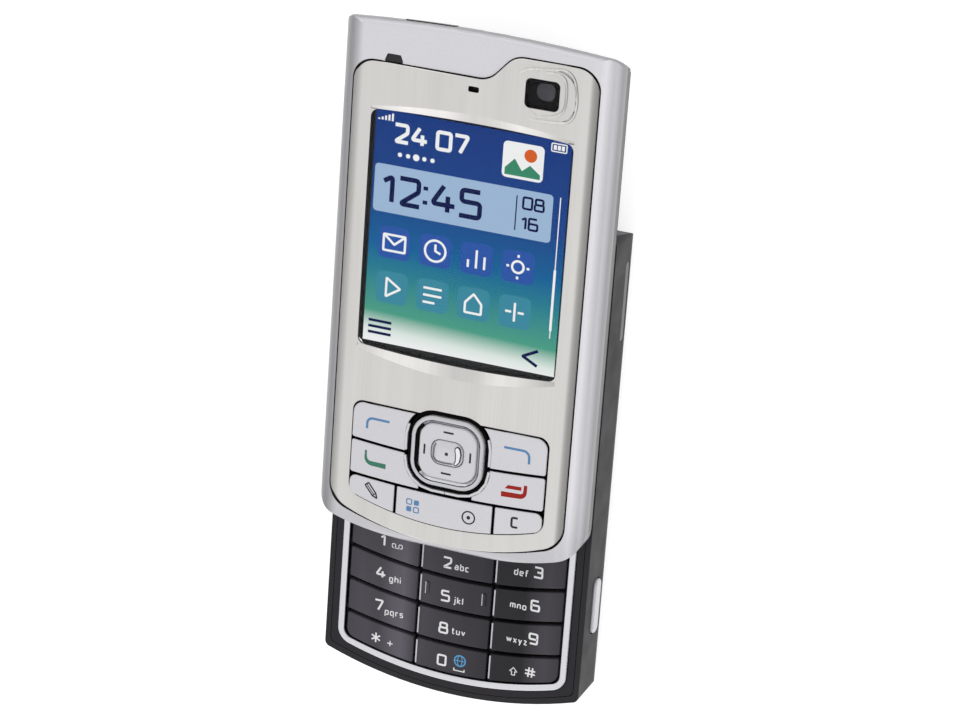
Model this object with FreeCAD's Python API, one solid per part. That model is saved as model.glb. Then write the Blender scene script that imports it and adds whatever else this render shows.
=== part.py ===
import FreeCAD, Part
import math
import os

V = FreeCAD.Vector

# A slider phone, lying on its back with the slide open. X is across the phone, Y runs towards
# its top end and Z out of the screen. The origin is the middle of the lower half's flat back.
# All sizes are in millimetres.
#
# Words used in the names: a rise is measured from a half's bottom end and a drop from its top
# end or its front; an inset is measured inwards from a side. A bow is how far a curved side or
# line departs from its chord.

# The two halves: the upper one sets the length and the width
closed_length = 95.4
upper_width = 50.0
side_step = 0.35
top_end_step = 3.15
lower_depth = 13.5
half_gap = 0.9
open_margin = 1.72

# Clearances
seam = 0.2
drop_in = 0.1
running_gap = 0.1
fine_gap = 0.05
end_room = 0.5

# Shape of the lower half
lower_end_bow = 4.25
lower_low_radius = 1.2
lower_high_radius = 2.0
back_edge_radius = 5.8
low_end_lean = 2.0
low_end_radius = 4.0
high_end_lean = 2.5
high_end_radius = 8.0
rim_wall = 1.0
floor_height = 2.6
room_side_wall = 4.5
room_high_wall = 7.6
room_low_wall = 5.1
room_radius = 1.0
bay_wall = 1.2
frame_thickness = 2.5

# Shape of the upper half
slide_plate_thickness = 1.1
frame_depth = 6.7
upper_low_bow = 4.5
upper_high_bow = 1.15
upper_low_radius = 4.5
upper_high_radius = 2.5
side_round = 4.4
low_end_round = 3.0
high_end_round = 1.0
high_back_lean = 3.2
high_back_rise = 5.7
high_back_round = 2.0
frame_wall = 2.0
front_wall = 1.6

# Faceplate; its left shoulder is lower than the right one, which holds the camera
face_side_inset = 2.95
face_low_rise = 1.85
face_low_bow = 4.4
face_low_radius = 5.0
face_left_drop = 7.85
face_right_drop = 3.0
shoulder_start = 9.93
shoulder_end = 5.58
face_corner_radius = 4.0
face_thickness = 0.6
face_crown = 0.6
face_edge = 0.15
ledge_width = 1.2

# Display
window_side_inset = 3.65
window_low_rise = 35.5
window_high_drop = 15.8
window_low_bow = 0.8
window_high_bow = 0.6
window_radius = 1.5
window_thickness = 0.85
window_border = 0.5
low_bevel_width = 2.3
high_bevel_width = 1.5
display_thickness = 3.5
screen_step = 0.15

# Speaker slot, earpiece, light sensor and front camera
slot_drop = 9.8
slot_width = 1.9
slot_height = 1.0
slot_radius = 0.3
earpiece_width = 9.0
earpiece_length = 5.0
earpiece_depth = 2.6
earpiece_offset = 0.3
sensor_inset = 7.25
sensor_width = 3.5
sensor_height = 1.35
sensor_taper = 0.6
camera_inset = 9.55
camera_drop = 8.4
camera_block = 6.0
camera_depth = 4.0
camera_lens_radius = 1.9
camera_pupil_radius = 0.7
camera_window_width = 5.9
camera_window_height = 5.0
camera_window_offset = 0.3
camera_window_sunk = 0.25
step_right_inset = 3.95
step_low_drop = 13.0
step_high_drop = 4.2
step_radius = 3.5
step_width = 1.6
step_low_width = 0.5
step_high_width = 0.7
step_land = 3.0
step_drop = 0.13
step_slope = 0.16

# Keys of the upper half, between curved lines given by their rise and bow
key_side_inset = 3.85
key_top_rise = 25.6
key_line_1_rise = 17.97
key_line_1_bow = 0.7
key_line_2_rise = 11.4
key_line_2_bow = 0.61
key_bottom_rise = 5.4
key_bottom_bow = 2.98
key_field_radius = 2.6
key_line_x = 9.25
key_inner_x = 5.0
soft_key_inner_x = 3.0
key_gap = 0.45
key_stand = 0.35
key_height = 2.0
key_corner = 0.5
key_inner_corner = 0.2
key_outer_corner = 2.0
edit_low_corner = 1.7
edit_high_corner = 1.3
key_edge = 0.2
key_travel = 0.3

# Navigation cluster
nav_drop = 6.1
surround_width = 15.1
surround_height = 14.45
surround_radius = 5.0
surround_wall = 0.6
surround_stand = 0.05
surround_edge = 0.2
ring_gap = 0.15
ring_width = 1.35
ring_stand = 0.55
ring_edge = 0.45
pad_stand = 0.35
pad_edge = 0.3
select_width = 5.9
select_height = 4.5
select_radius = 1.8
select_stand = 0.8
select_edge = 0.4
select_gap = 0.125
post_thickness = 0.4
post_inset = 0.9
post_gap = 0.35
rocker_gap = 0.3

# Number keys
trim_side_inset = 2.45
pad_column_x = 7.1
pad_column_gap = 0.5
pad_row_gap = 0.7
pad_row_pitch = 6.5
pad_last_row = 5.73
pad_row_bow = 2.4
pad_bottom_rise = 4.1
pad_bottom_bow = 3.15
pad_corner = 0.35
pad_outer_corner = 2.3
pad_proud = 0.15
pad_key_height = 1.25
pad_mat_clear = 0.5
trim_gap = 0.4
trim_width = 1.3
trim_proud = 0.45
trim_sunk = 1.1
trim_cover = 0.65
trim_corner = 3.3
trim_edge = 0.3

# Side and end keys, and the infrared window
power_inset = 15.85
power_width = 9.3
power_height = 2.0
power_rise = 4.4
power_proud = 0.1
capture_rise = 21.225
capture_drop = 5.1
capture_length = 10.5
capture_height = 2.7
capture_proud = 0.5
capture_edge = 0.4
capture_travel = 0.4
flange_reach = 0.5
flange_thickness = 0.8
infrared_drop = 13.875
infrared_length = 14.7
infrared_height = 1.6
infrared_thickness = 0.7

# Memory card and its door, on the left side
card_length = 21.5
card_width = 20.0
card_thickness = 1.4
card_drop = 42.125
card_inset = 1.75
card_headroom = 0.4
card_corner = 0.6
card_cut = 2.0
pocket_floor = 0.5
door_length = 22.4
door_below = 2.65
door_above = 2.1
door_pin_radius = 0.35
door_pin_reach = 0.9
door_pin_gap = 0.07
nail_length = 5.0
nail_height = 0.5
nail_depth = 0.25

# Battery, its cover and latch
battery_low_rise = 13.525
battery_high_drop = 32.725
battery_clear = 0.15
battery_radius = 1.6
battery_notch_width = 10.0
battery_notch_length = 0.5
battery_notch_height = 1.6
bay_gap = 0.3
cover_side_inset = 0.85
cover_lap = 1.1
cover_low_rise = 5.625
cover_past_battery = 3.1
cover_thickness = 1.0
cover_radius = 3.0
grip_count = 5
grip_pitch = 1.6
grip_length = 12.0
grip_width = 0.6
grip_depth = 0.25
grip_drop = 10.5
latch_width = 9.0
latch_length = 3.0
latch_thickness = 1.4
latch_radius = 0.6
latch_travel = 0.8
latch_room = 0.3
sim_width = 28.0
sim_length = 18.0
sim_rise = 1.6
sim_wall = 1.5
sim_height = 0.5
sim_depth = 0.3

# Camera, flash and loudspeaker on the back
rear_drop = 16.125
barrel_radius = 4.8
lens_radius = 3.6
lens_thickness = 0.7
pupil_radius = 1.2
pupil_depth = 2.0
lens_clear = 0.05
barrel_sunk = 0.2
rear_block = 9.4
rear_block_radius = 0.8
rear_block_rise = 2.4
lever_radius = 7.0
lever_thickness = 1.2
lever_recess = 0.25
lever_tab = 1.6
lever_turn = 25.0
flash_x = 11.5
flash_width = 3.4
flash_height = 2.6
flash_radius = 0.7
flash_sunk = 0.15
flash_thickness = 1.05
speaker_margin = 1.15
speaker_offset = 3.0
speaker_width = 10.0
speaker_length = 12.0
speaker_height = 3.0
speaker_radius = 2.0
speaker_rim = 0.8
speaker_well = 0.6
sound_slot_count = 5
sound_slot_pitch = 2.0
sound_slot_width = 0.9
sound_slot_length = 6.0

# Boards, mats and screws
board_thickness = 0.8
board_inset = 4.4
mat_thickness = 0.8
mat_inset = 3.2
mat_past_pad = 7.5
mat_clear = 0.4
foot_height = 0.8
upper_mat_inset = 3.4
upper_mat_past_keys = 1.4
board_to_window = 2.6
upper_foot_height = 0.3
boss_clear = 0.5
plunger_radius = 1.1
screw_radius = 0.7
screw_head_radius = 1.4
screw_head_height = 0.8
screw_slot_length = 1.2
screw_slot_width = 0.3
screw_slot_depth = 0.35
screw_length = 5.5
boss_radius = 1.8
post_rise = 2.8
lower_seat = 2.1
low_screw_inset = 4.55
low_screw_rise = 10.625
high_screw_inset = 9.15
high_screw_drop = 9.625
upper_screw_inset = 3.7
upper_screw_drop = 11.7
upper_screw_end = 0.7

# Sliding gear
rail_width = 34.8
rail_sheet = 0.4
rail_height = 1.9
rail_proud = 0.4
rail_lip = 1.4
rail_high_drop = 2.5
rail_slot_inner = 7.0
rail_slot_outer = 12.0
rail_slot_end = 6.0
rail_slot_radius = 2.0
runner_length = 18.0
runner_stem = 0.9
pin_radius = 0.5
pin_height = 1.0
spring_wire = 0.3
spring_coil = 3.0
spring_inset = 6.9
spring_low_rise = 8.0
spring_high_drop = 4.0
flex_width = 10.0
flex_sheet = 0.2
flex_clear = 0.15
flex_low_rise = 10.625
flex_high_drop = 13.625
flex_bend_drop = 8.625
flex_rise = 0.6
flex_hole_margin = 0.3
flex_hole_length = 1.2

# Ribs on the slide plate
rib_width = 1.6
rib_root = 0.6
key_rib_x = 15.0
display_rib_x = 13.0
display_rib_inset = 4.0
earpiece_rib_x = 3.0
earpiece_rib_width = 1.2
earpiece_rib_length = 4.0
camera_rib = 4.0

# Sockets in the bottom end
charger_inset = 11.65
charger_radius = 1.05
charger_depth = 8.0
charger_body = 2.6
charger_wall = 1.0
charger_set_back = 0.25
connector_width = 14.4
connector_height = 3.6
connector_length = 7.5
connector_set_back = 1.0
connector_wall = 1.0
connector_tongue = 0.6
connector_radius = 0.5
microphone_radius = 0.45

# Places across and along the two halves that follow from these
lower_width = upper_width - 2 * side_step
lower_length = closed_length - top_end_step
half_upper = closed_length / 2
half_lower = lower_length / 2
pad_top_rise = pad_bottom_rise + 3 * pad_row_pitch + pad_last_row
slide_travel = pad_top_rise + open_margin
upper_y = half_upper - half_lower + slide_travel
face_half_width = upper_width / 2 - face_side_inset
face_low = -half_upper + face_low_rise
face_left_high = half_upper - face_left_drop
face_right_high = half_upper - face_right_drop
window_half_width = face_half_width - window_side_inset
window_low = -half_upper + window_low_rise
window_high = half_upper - window_high_drop
slot_y = half_upper - slot_drop
sensor_x = sensor_inset - face_half_width
camera_x = face_half_width - camera_inset
camera_y = half_upper - camera_drop
camera_window_x = camera_x - camera_window_offset
camera_window_y = camera_y - camera_window_offset
key_half_width = face_half_width - key_side_inset
nav_y = -half_upper + key_top_rise - nav_drop
pad_half_width = lower_width / 2 - trim_side_inset - trim_width - trim_gap
trim_top = upper_y - half_upper + upper_low_bow + trim_cover
mat_end = -half_lower + pad_top_rise + mat_past_pad
power_x = power_inset - upper_width / 2
capture_y = -half_lower + capture_rise
infrared_y = half_lower - infrared_drop
card_x = -lower_width / 2 + card_inset
card_y = half_lower - card_drop
room_half_width = lower_width / 2 - room_side_wall
cover_half_width = lower_width / 2 - back_edge_radius - cover_side_inset
battery_half_width = cover_half_width - cover_lap
battery_low_end = -half_lower + battery_low_rise
battery_high_end = half_lower - battery_high_drop
bay_low_end = battery_low_end - bay_gap
bay_high_end = battery_high_end + bay_gap
cover_low = -half_lower + cover_low_rise
cover_high = battery_high_end + cover_past_battery
rear_x = 0.0
rear_y = half_lower - rear_drop
speaker_x = speaker_margin + speaker_width / 2 - room_half_width
speaker_y = rear_y - speaker_offset
charger_x = charger_inset - lower_width / 2
charger_mouth = -half_lower + lower_end_bow * (2 * charger_x / lower_width) ** 2 + charger_set_back
connector_low = -half_lower + connector_set_back
lower_screws = [(side * (lower_width / 2 - low_screw_inset), -half_lower + low_screw_rise)
                for side in (-1, 1)]
lower_screws += [(side * (lower_width / 2 - high_screw_inset), half_lower - high_screw_drop)
                 for side in (-1, 1)]
upper_screws_at = [(side * (upper_width / 2 - upper_screw_inset), end * (half_upper - upper_screw_drop))
                   for side in (-1, 1) for end in (-1, 1)]
boss_side = upper_width / 2 - upper_screw_inset - boss_radius - boss_clear
room_high = half_upper - frame_wall - high_back_lean

# The rails hold the runner's two end places and a stop at each end
rail_high = half_lower - rail_high_drop
rail_low = rail_high - runner_length - slide_travel - 2 * running_gap
runner_low = rail_high - running_gap - runner_length - upper_y
spring_x = spring_inset - rail_width / 2
spring_low = rail_low + spring_low_rise
spring_high = rail_high - spring_high_drop
flex_low_y = rail_low + flex_low_rise
flex_high_y = rail_high - flex_high_drop
flex_bend_y = rail_high - flex_bend_drop

# Levels of the lower half, from its front down to its back
rail_floor = lower_depth + rail_proud - rail_height
z_pad_key = lower_depth + pad_proud - pad_key_height
z_trim = lower_depth - trim_sunk
z_pad_mat = z_pad_key - pad_mat_clear
z_board_top = z_pad_mat - mat_thickness - foot_height - drop_in
z_board = z_board_top - board_thickness
shelf_height = z_board - drop_in
card_low = z_board - card_headroom - card_thickness
card_high = card_low + card_thickness
bay_top = card_low - drop_in - pocket_floor
door_low = (card_low + card_high) / 2 - door_below
door_high = (card_low + card_high) / 2 + door_above
battery_low = cover_thickness + battery_clear
battery_top = bay_top - sim_height - battery_clear
capture_z = lower_depth - capture_drop
infrared_z = back_edge_radius + (infrared_height - seam) / 2 - drop_in
socket_z = shelf_height - charger_body - 2 * drop_in
z_spring_low = rail_floor + rail_sheet + drop_in + spring_wire
z_spring_high = z_spring_low + 1.6 * spring_wire
z_flex_low = rail_floor + rail_sheet + flex_clear
pivot_x = (rim_wall - lower_width) / 2
pivot_z = door_low + rim_wall / 2

# Levels of the upper half, from its back up to its front
z_plate = lower_depth + half_gap
z_frame = z_plate + slide_plate_thickness
z_front = z_frame + frame_depth
z_under = z_front - front_wall
z_face = z_front - seam
z_crown = z_face + face_crown
z_ledge = z_face - face_thickness
z_glass = z_face + fine_gap
z_display = z_glass - window_thickness - drop_in
z_plateau = z_crown - step_drop
z_power = z_frame + power_rise
key_seat = z_crown - key_height
rocker_seat = key_seat - fine_gap + post_thickness + rocker_gap
z_mat = key_seat - mat_clear
z_upper_board = z_mat - mat_thickness - mat_clear - board_thickness
z_flex_high = z_plate - seam
crown_radius = (face_half_width ** 2 + face_crown ** 2) / (2 * face_crown)

# How far a cut runs past the face that it opens, and how far an endless one runs
PAST = 1.0
ALL = 200.0


def turned(shape, degrees):
    shape.rotate(V(0, 0, 0), V(1, 1, 1), degrees)
    return shape


def prism(corners, low, high):
    """Solid over an outline. A corner is (x, y, radius, bow): its rounding, and how far the side
    that leaves it bulges outwards when the corners run anticlockwise."""
    edges = []
    for i, (x, y, radius, bow) in enumerate(corners):
        x2, y2 = corners[(i + 1) % len(corners)][:2]
        start, end = V(x, y, low), V(x2, y2, low)
        if bow:
            out = V(y2 - y, x - x2, 0).normalize()
            edges.append(Part.Arc(start, (start + end) * 0.5 + out * bow, end).toShape())
        else:
            edges.append(Part.makeLine(start, end))
    solid = Part.Face(Part.Wire(edges)).extrude(V(0, 0, high - low))
    for radius in sorted({corner[2] for corner in corners if corner[2]}):
        places = [V(x, y, low) for x, y, r, bow in corners if r == radius]
        standing = [e for e in solid.Edges if abs(e.Vertexes[0].X - e.Vertexes[-1].X) < 1e-6
                    and abs(e.Vertexes[0].Y - e.Vertexes[-1].Y) < 1e-6 and len(e.Vertexes) == 2]
        chosen = [e for e in standing
                  if any((V(e.Vertexes[0].X, e.Vertexes[0].Y, low) - p).Length < 1e-4 for p in places)]
        solid = solid.makeFillet(radius, chosen)
    return solid


def prism_x(corners, low, high):
    """The same over an outline of (y, z) corners, reaching along X."""
    return turned(prism(corners, low, high), 120)


def prism_y(corners, low, high):
    """The same over an outline of (z, x) corners, reaching along Y."""
    return turned(prism(corners, low, high), 240)


def rectangle(a, b, width, height, radius=0.0):
    w, h = width / 2, height / 2
    return [(a - w, b - h, radius, 0), (a + w, b - h, radius, 0),
            (a + w, b + h, radius, 0), (a - w, b + h, radius, 0)]


def span(a0, a1, b0, b1, radius=0.0):
    return rectangle((a0 + a1) / 2, (b0 + b1) / 2, a1 - a0, b1 - b0, radius)


def above(y):
    """Everything beyond a Y, for cutting."""
    return prism(span(-ALL, ALL, y, ALL), 0, ALL)


def disc(x, y, radius, low, high):
    return Part.makeCylinder(radius, high - low, V(x, y, low))


def rod_y(x, z, radius, low, high):
    return Part.makeCylinder(radius, high - low, V(x, low, z), V(0, 1, 0))


def bowed(half_width, low, high, low_bow, high_bow, low_radius, high_radius):
    """Panel with curved ends, whose crests are at low and high."""
    w = half_width
    return [(-w, low + low_bow, low_radius, low_bow), (w, low + low_bow, low_radius, 0),
            (w, high - high_bow, high_radius, high_bow), (-w, high - high_bow, high_radius, 0)]


def softened(solid, radius):
    """Rounds the edges of the topmost face."""
    top = max(solid.Faces, key=lambda face: (round(face.BoundBox.ZMax, 3), face.Area))
    return solid.makeFillet(radius, top.Edges)


def crowned(solid, stand=0.0):
    """Cuts a solid to the faceplate's curved front, raised by stand."""
    centre = V(0, -ALL, z_crown - crown_radius)
    return solid.common(Part.makeCylinder(crown_radius + stand, 2 * ALL, centre, V(0, 1, 0)))


def lower_outline(inset=0.0):
    return bowed(lower_width / 2 - inset, -half_lower + inset, half_lower - inset, lower_end_bow, 0,
                 lower_low_radius, lower_high_radius)


def upper_outline(inset=0.0):
    end = half_upper - inset
    return bowed(upper_width / 2 - inset, -end, end, upper_low_bow, upper_high_bow,
                 upper_low_radius, upper_high_radius)


def face_outline(inset=0.0):
    w = face_half_width - inset
    low = face_low + face_low_bow + inset
    slant = inset * 0.45
    return [(-w, low, face_low_radius, face_low_bow), (w, low, face_low_radius, 0),
            (w, face_right_high - inset, face_corner_radius, 0),
            (camera_x - shoulder_end + slant, face_right_high - inset, face_corner_radius, 0),
            (camera_x - shoulder_start + slant, face_left_high - inset, face_corner_radius, 0),
            (-w, face_left_high - inset, face_corner_radius, 0)]


def window_outline(inset=0.0):
    return bowed(window_half_width - inset, window_low + inset, window_high - inset,
                 window_low_bow, window_high_bow, window_radius, window_radius)


def curved_line(middle, bow, half_width):
    """Line y = a + b * x * x that rises by bow from the middle to half_width, as (a, b)."""
    return middle, bow / half_width ** 2


def shifted(line, distance):
    return line[0] + distance, line[1]


def at(line, x):
    return line[0] + line[1] * x * x


def curved_cap(x0, x1, low_line, high_line, low, high, radii):
    """Key cap between two curved lines; radii follow its four corners."""
    bows = [line[1] * (x1 - x0) ** 2 / 4 for line in (low_line, high_line)]
    return prism([(x0, at(low_line, x0), radii[0], bows[0]), (x1, at(low_line, x1), radii[1], 0),
                  (x1, at(high_line, x1), radii[2], -bows[1]), (x0, at(high_line, x0), radii[3], 0)],
                 low, high)


# Lower half ------------------------------------------------------------------------------------

def lower_shape():
    side = lower_width / 2
    across = prism_y([(0, -side, back_edge_radius, 0), (lower_depth, -side, 0, 0),
                      (lower_depth, side, 0, 0), (0, side, back_edge_radius, 0)], -ALL, ALL)
    along = prism_x([(-half_lower + low_end_lean, 0, low_end_radius, 0),
                     (half_lower - high_end_lean, 0, high_end_radius, 0),
                     (half_lower, lower_depth, 0, 0), (-half_lower, lower_depth, 0, 0)], -ALL, ALL)
    return prism(lower_outline(), 0, lower_depth).common(across).common(along)


def lever_sweep(clearance):
    """Where the lever's tab may travel: a sector around the camera."""
    reach = lever_radius + lever_tab + clearance
    spare = math.degrees(math.asin((lever_tab / 2 + clearance) / lever_radius))
    height = PAST + lever_recess + lever_thickness + clearance
    sector = Part.makeCylinder(reach, height, V(rear_x, rear_y, -PAST), V(0, 0, 1), lever_turn + 2 * spare)
    sector.rotate(V(rear_x, rear_y, 0), V(0, 0, 1), -spare)
    return sector


def capture_outline(grow):
    """Outline of the capture key's cap, or of its flange when grown."""
    return rectangle(capture_y, capture_z, capture_length + 2 * grow, capture_height + 2 * grow,
                     capture_height / 2 - drop_in)


def rooms():
    """The hollows of the rear housing."""
    bay_half = battery_half_width + bay_gap
    latch_high = cover_high + latch_length + latch_travel + 3 * seam
    return [
        prism(lower_outline(rim_wall), shelf_height, ALL),
        prism(span(-bay_half, bay_half, bay_low_end, bay_high_end, room_radius), -PAST, bay_top),
        prism(span(-cover_half_width - seam, cover_half_width + seam, cover_low - seam,
                   cover_high + seam, cover_radius), -PAST, cover_thickness + fine_gap),
        prism(span(-room_half_width, room_half_width, bay_high_end + bay_wall,
                   half_lower - room_high_wall, 2 * room_radius), floor_height, ALL),
        prism(span(-room_half_width, room_half_width, -half_lower + room_low_wall,
                   bay_low_end - bay_wall, room_radius), floor_height, ALL),
        prism(span(-latch_width / 2 - seam, latch_width / 2 + seam, cover_high - PAST, latch_high),
              -PAST, latch_thickness + latch_room)]


def side_openings():
    """Cuts for the card and its door on the left, and for the capture key and the infrared window
    on the right."""
    side = lower_width / 2
    card_half = card_width / 2 + seam
    door_half = door_length / 2 + seam
    flange_room = flange_thickness + 2 * capture_travel + seam
    return [
        prism(span(-side - PAST, card_x + card_length + bay_gap, card_y - card_half, card_y + card_half),
              card_low - drop_in, ALL),
        prism_x(span(card_y - door_half, card_y + door_half, door_low - seam, door_high + seam),
                -side - PAST, -side + rim_wall + fine_gap),
        rod_y(pivot_x, pivot_z, door_pin_radius + door_pin_gap, card_y - door_half - door_pin_reach,
              card_y + door_half + door_pin_reach),
        prism_x(capture_outline(seam), side - rim_wall - PAST, side + PAST),
        prism_x(capture_outline(flange_reach + seam), side - rim_wall - flange_room, side - rim_wall),
        prism_x(rectangle(infrared_y, infrared_z, infrared_length + seam, infrared_height + seam,
                          infrared_height / 2), side - infrared_thickness - 2 * fine_gap, side + PAST)]


def back_openings():
    """Cuts for the camera, its lever and flash, and the sound slots."""
    first = speaker_x - sound_slot_pitch * (sound_slot_count - 1) / 2
    cuts = [
        disc(rear_x, rear_y, barrel_radius + running_gap, -PAST, floor_height + PAST),
        disc(rear_x, rear_y, lever_radius + running_gap, -PAST,
             lever_recess + lever_thickness + running_gap),
        lever_sweep(running_gap),
        prism(rectangle(flash_x, rear_y, flash_width + seam, flash_height + seam, flash_radius + drop_in),
              -PAST, flash_sunk + flash_thickness + fine_gap)]
    for i in range(sound_slot_count):
        cuts.append(prism(rectangle(first + i * sound_slot_pitch, speaker_y, sound_slot_width,
                                    sound_slot_length, sound_slot_width / 2 - 0.01),
                          -PAST, floor_height + PAST))
    return cuts


def end_openings():
    """Cuts for the sockets and the microphone in the bottom end."""
    outside = -half_lower - PAST
    return [
        rod_y(charger_x, socket_z, charger_body + drop_in, outside,
              charger_mouth + charger_depth + charger_wall + end_room),
        prism_y(rectangle(socket_z, 0, connector_height + seam, connector_width + seam,
                          connector_radius + drop_in),
                outside, connector_low + connector_length + end_room),
        rod_y(-charger_x, socket_z, microphone_radius, outside, -half_lower + room_low_wall + PAST)]


def rear_housing():
    body = lower_shape().cut(rooms() + side_openings() + back_openings() + end_openings())
    post_top = lower_seat + post_rise
    body = body.fuse([disc(x, y, boss_radius, floor_height - end_room, post_top) for x, y in lower_screws])
    drills = []
    for x, y in lower_screws:
        drills.append(disc(x, y, boss_radius + drop_in, post_top, ALL))
        drills.append(disc(x, y, screw_radius + seam, -PAST, post_top + seam))
        drills.append(disc(x, y, screw_head_radius + drop_in, -PAST, lower_seat))
    return body.cut(drills)


def pad_line(row):
    """Middle line of the gap above a row of number keys; row 0 is the top one."""
    return curved_line(-half_lower + pad_top_rise - row * pad_row_pitch, pad_row_bow, pad_half_width)


def pad_bottom():
    return curved_line(-half_lower + pad_bottom_rise, pad_bottom_bow, pad_half_width)


def pad_opening(grow):
    """The key field, which the trim frames."""
    w = pad_half_width + grow
    low, high = shifted(pad_bottom(), -grow), shifted(pad_line(0), grow)
    return bowed(w, low[0], high[0], low[1] * w * w, -high[1] * w * w, pad_outer_corner, pad_corner)


def trim_outline(grow, top):
    """Outline at the trim's inner side, or further out when grown."""
    w = pad_half_width + trim_gap + grow
    low = -half_lower + pad_bottom_rise - trim_gap / 2 - grow
    return bowed(w, low, top, pad_bottom()[1] * w * w, 0, trim_corner - trim_width + grow, 0)


def flex_hole(y):
    return prism(rectangle(0, y, flex_width + 2 * flex_hole_margin, flex_hole_length), 0, ALL)


def keypad_frame():
    inset = rim_wall + drop_in
    under = lower_depth - frame_thickness
    low = under - end_room
    body = prism(lower_outline(inset), under, lower_depth)
    mat_room = prism(lower_outline(mat_inset - end_room), low, z_pad_mat + fine_gap)
    body = body.cut([
        mat_room.cut(above(mat_end + seam + drop_in)),
        prism(trim_outline(trim_width + fine_gap, trim_top + fine_gap), z_trim, ALL),
        prism(pad_opening(seam), low, ALL)])
    # the trim's recess is filled back to the front between the trim's two arms
    filler_outline = trim_outline(-trim_gap / 2 - fine_gap, trim_top + fine_gap)
    filler = prism(filler_outline, z_trim - drop_in, lower_depth)
    below_arms = prism(span(-ALL, ALL, -ALL, pad_line(0)[0]), 0, ALL)
    body = body.fuse(filler.cut([prism(pad_opening(trim_gap / 2), 0, ALL), below_arms]))
    recess_half = rail_width / 2 + seam
    body = body.cut([
        prism(span(-recess_half, recess_half, rail_low - rail_sheet - seam, rail_high + rail_sheet + seam),
              rail_floor, ALL),
        flex_hole(flex_low_y)])
    above_mat = prism(pad_opening(seam), z_pad_mat, ALL)
    foot = lower_seat + post_rise + drop_in
    bosses = [disc(x, y, boss_radius, foot, z_trim - drop_in if y < rail_low else rail_floor - seam)
              for x, y in lower_screws]
    body = body.fuse([boss.cut(above_mat) for boss in bosses])
    screw_room = lower_seat + screw_length + end_room
    return body.cut([disc(x, y, screw_radius + fine_gap, 0, screw_room) for x, y in lower_screws])


def keypad_trim():
    ring = prism(trim_outline(trim_width, trim_top), z_trim + fine_gap, lower_depth + trim_proud)
    ring = ring.cut(prism(trim_outline(0, trim_top + closed_length), 0, ALL))
    return softened(ring, trim_edge)


def boss_holes():
    return [disc(x, y, boss_radius + seam, 0, ALL) for x, y in lower_screws]


def keypad_mat():
    """Rubber mat under the number keys, with a foot under each key that works its contact."""
    mat = prism(lower_outline(mat_inset), z_pad_mat - mat_thickness, z_pad_mat)
    mat = mat.cut([above(mat_end)] + boss_holes())
    feet = []
    for row in range(4):
        for column in (-1, 0, 1):
            x = column * (pad_column_x + pad_half_width) / 2
            y = at(pad_line(row), x) - pad_row_pitch / 2
            feet.append(disc(x, y, plunger_radius, z_board_top + drop_in, z_pad_mat - mat_thickness / 2))
    return mat.fuse(feet)


def number_key(row, column):
    edges = [-pad_half_width, -pad_column_x, pad_column_x, pad_half_width]
    x0 = edges[column] + (pad_column_gap / 2 if column > 0 else 0)
    x1 = edges[column + 1] - (pad_column_gap / 2 if column < 2 else 0)
    low = shifted(pad_line(row + 1), pad_row_gap / 2) if row < 3 else pad_bottom()
    high = shifted(pad_line(row), -pad_row_gap / 2)
    radii = [pad_corner] * 4
    if row == 3 and column != 1:
        radii[column // 2] = pad_outer_corner - seam - drop_in
    cap = curved_cap(x0, x1, low, high, z_pad_key, lower_depth + pad_proud, radii)
    return softened(cap, key_edge)


def main_board():
    board = prism(lower_outline(board_inset), z_board, z_board_top)
    return board.cut(boss_holes() + [flex_hole(flex_low_y)])


def slide_rails():
    """Steel floor with a C-shaped rail along each side, closed at both ends as stops."""
    half = rail_width / 2
    top = rail_floor + rail_height
    floor = rail_floor + rail_sheet
    inner, mouth = half - rail_sheet, half - rail_lip
    body = prism(span(-half, half, rail_low - rail_sheet, rail_high + rail_sheet), rail_floor, top)
    body = body.cut([
        prism(span(-inner, inner, rail_low, rail_high), floor, top - rail_sheet),
        prism(span(-mouth, mouth, rail_low - PAST, rail_high + PAST), floor, ALL),
        flex_hole(flex_low_y),
        prism(span(rail_slot_inner, rail_slot_outer, rail_low + rail_slot_end, rail_high - rail_slot_end,
                   rail_slot_radius), 0, ALL)])
    return body.fuse(disc(spring_x, spring_low, pin_radius, floor - rail_sheet / 2, floor + pin_height))


def ring_eye(x, y, z):
    inner, half = pin_radius + running_gap, spring_wire + fine_gap
    return disc(x, y, inner + 2 * spring_wire, z - half, z + half).cut(disc(x, y, inner, 0, ALL))


def assist_spring():
    """Wire spring that throws the slide to either end: a coil of two turns and two legs with eyes."""
    x, middle = spring_x, (spring_low + spring_high) / 2
    turns, legs = [], []
    for y, z in ((spring_low, z_spring_low), (spring_high, z_spring_high)):
        turns.append(Part.makeTorus(spring_coil, spring_wire, V(x, middle, z), V(0, 0, 1)))
        run = V(x - pin_radius - running_gap - spring_wire, y, z) - V(x - spring_coil, middle, z)
        past = V(run).normalize() * (spring_wire / 3)
        start = V(x - spring_coil, middle, z) - past
        legs.append(Part.makeCylinder(spring_wire, run.Length + 2 * past.Length, start, run))
        legs.append(ring_eye(x, y, z))
    spring = turns[0].fuse(turns[1])
    for leg in legs:
        spring = spring.fuse(leg)
    return spring


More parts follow.
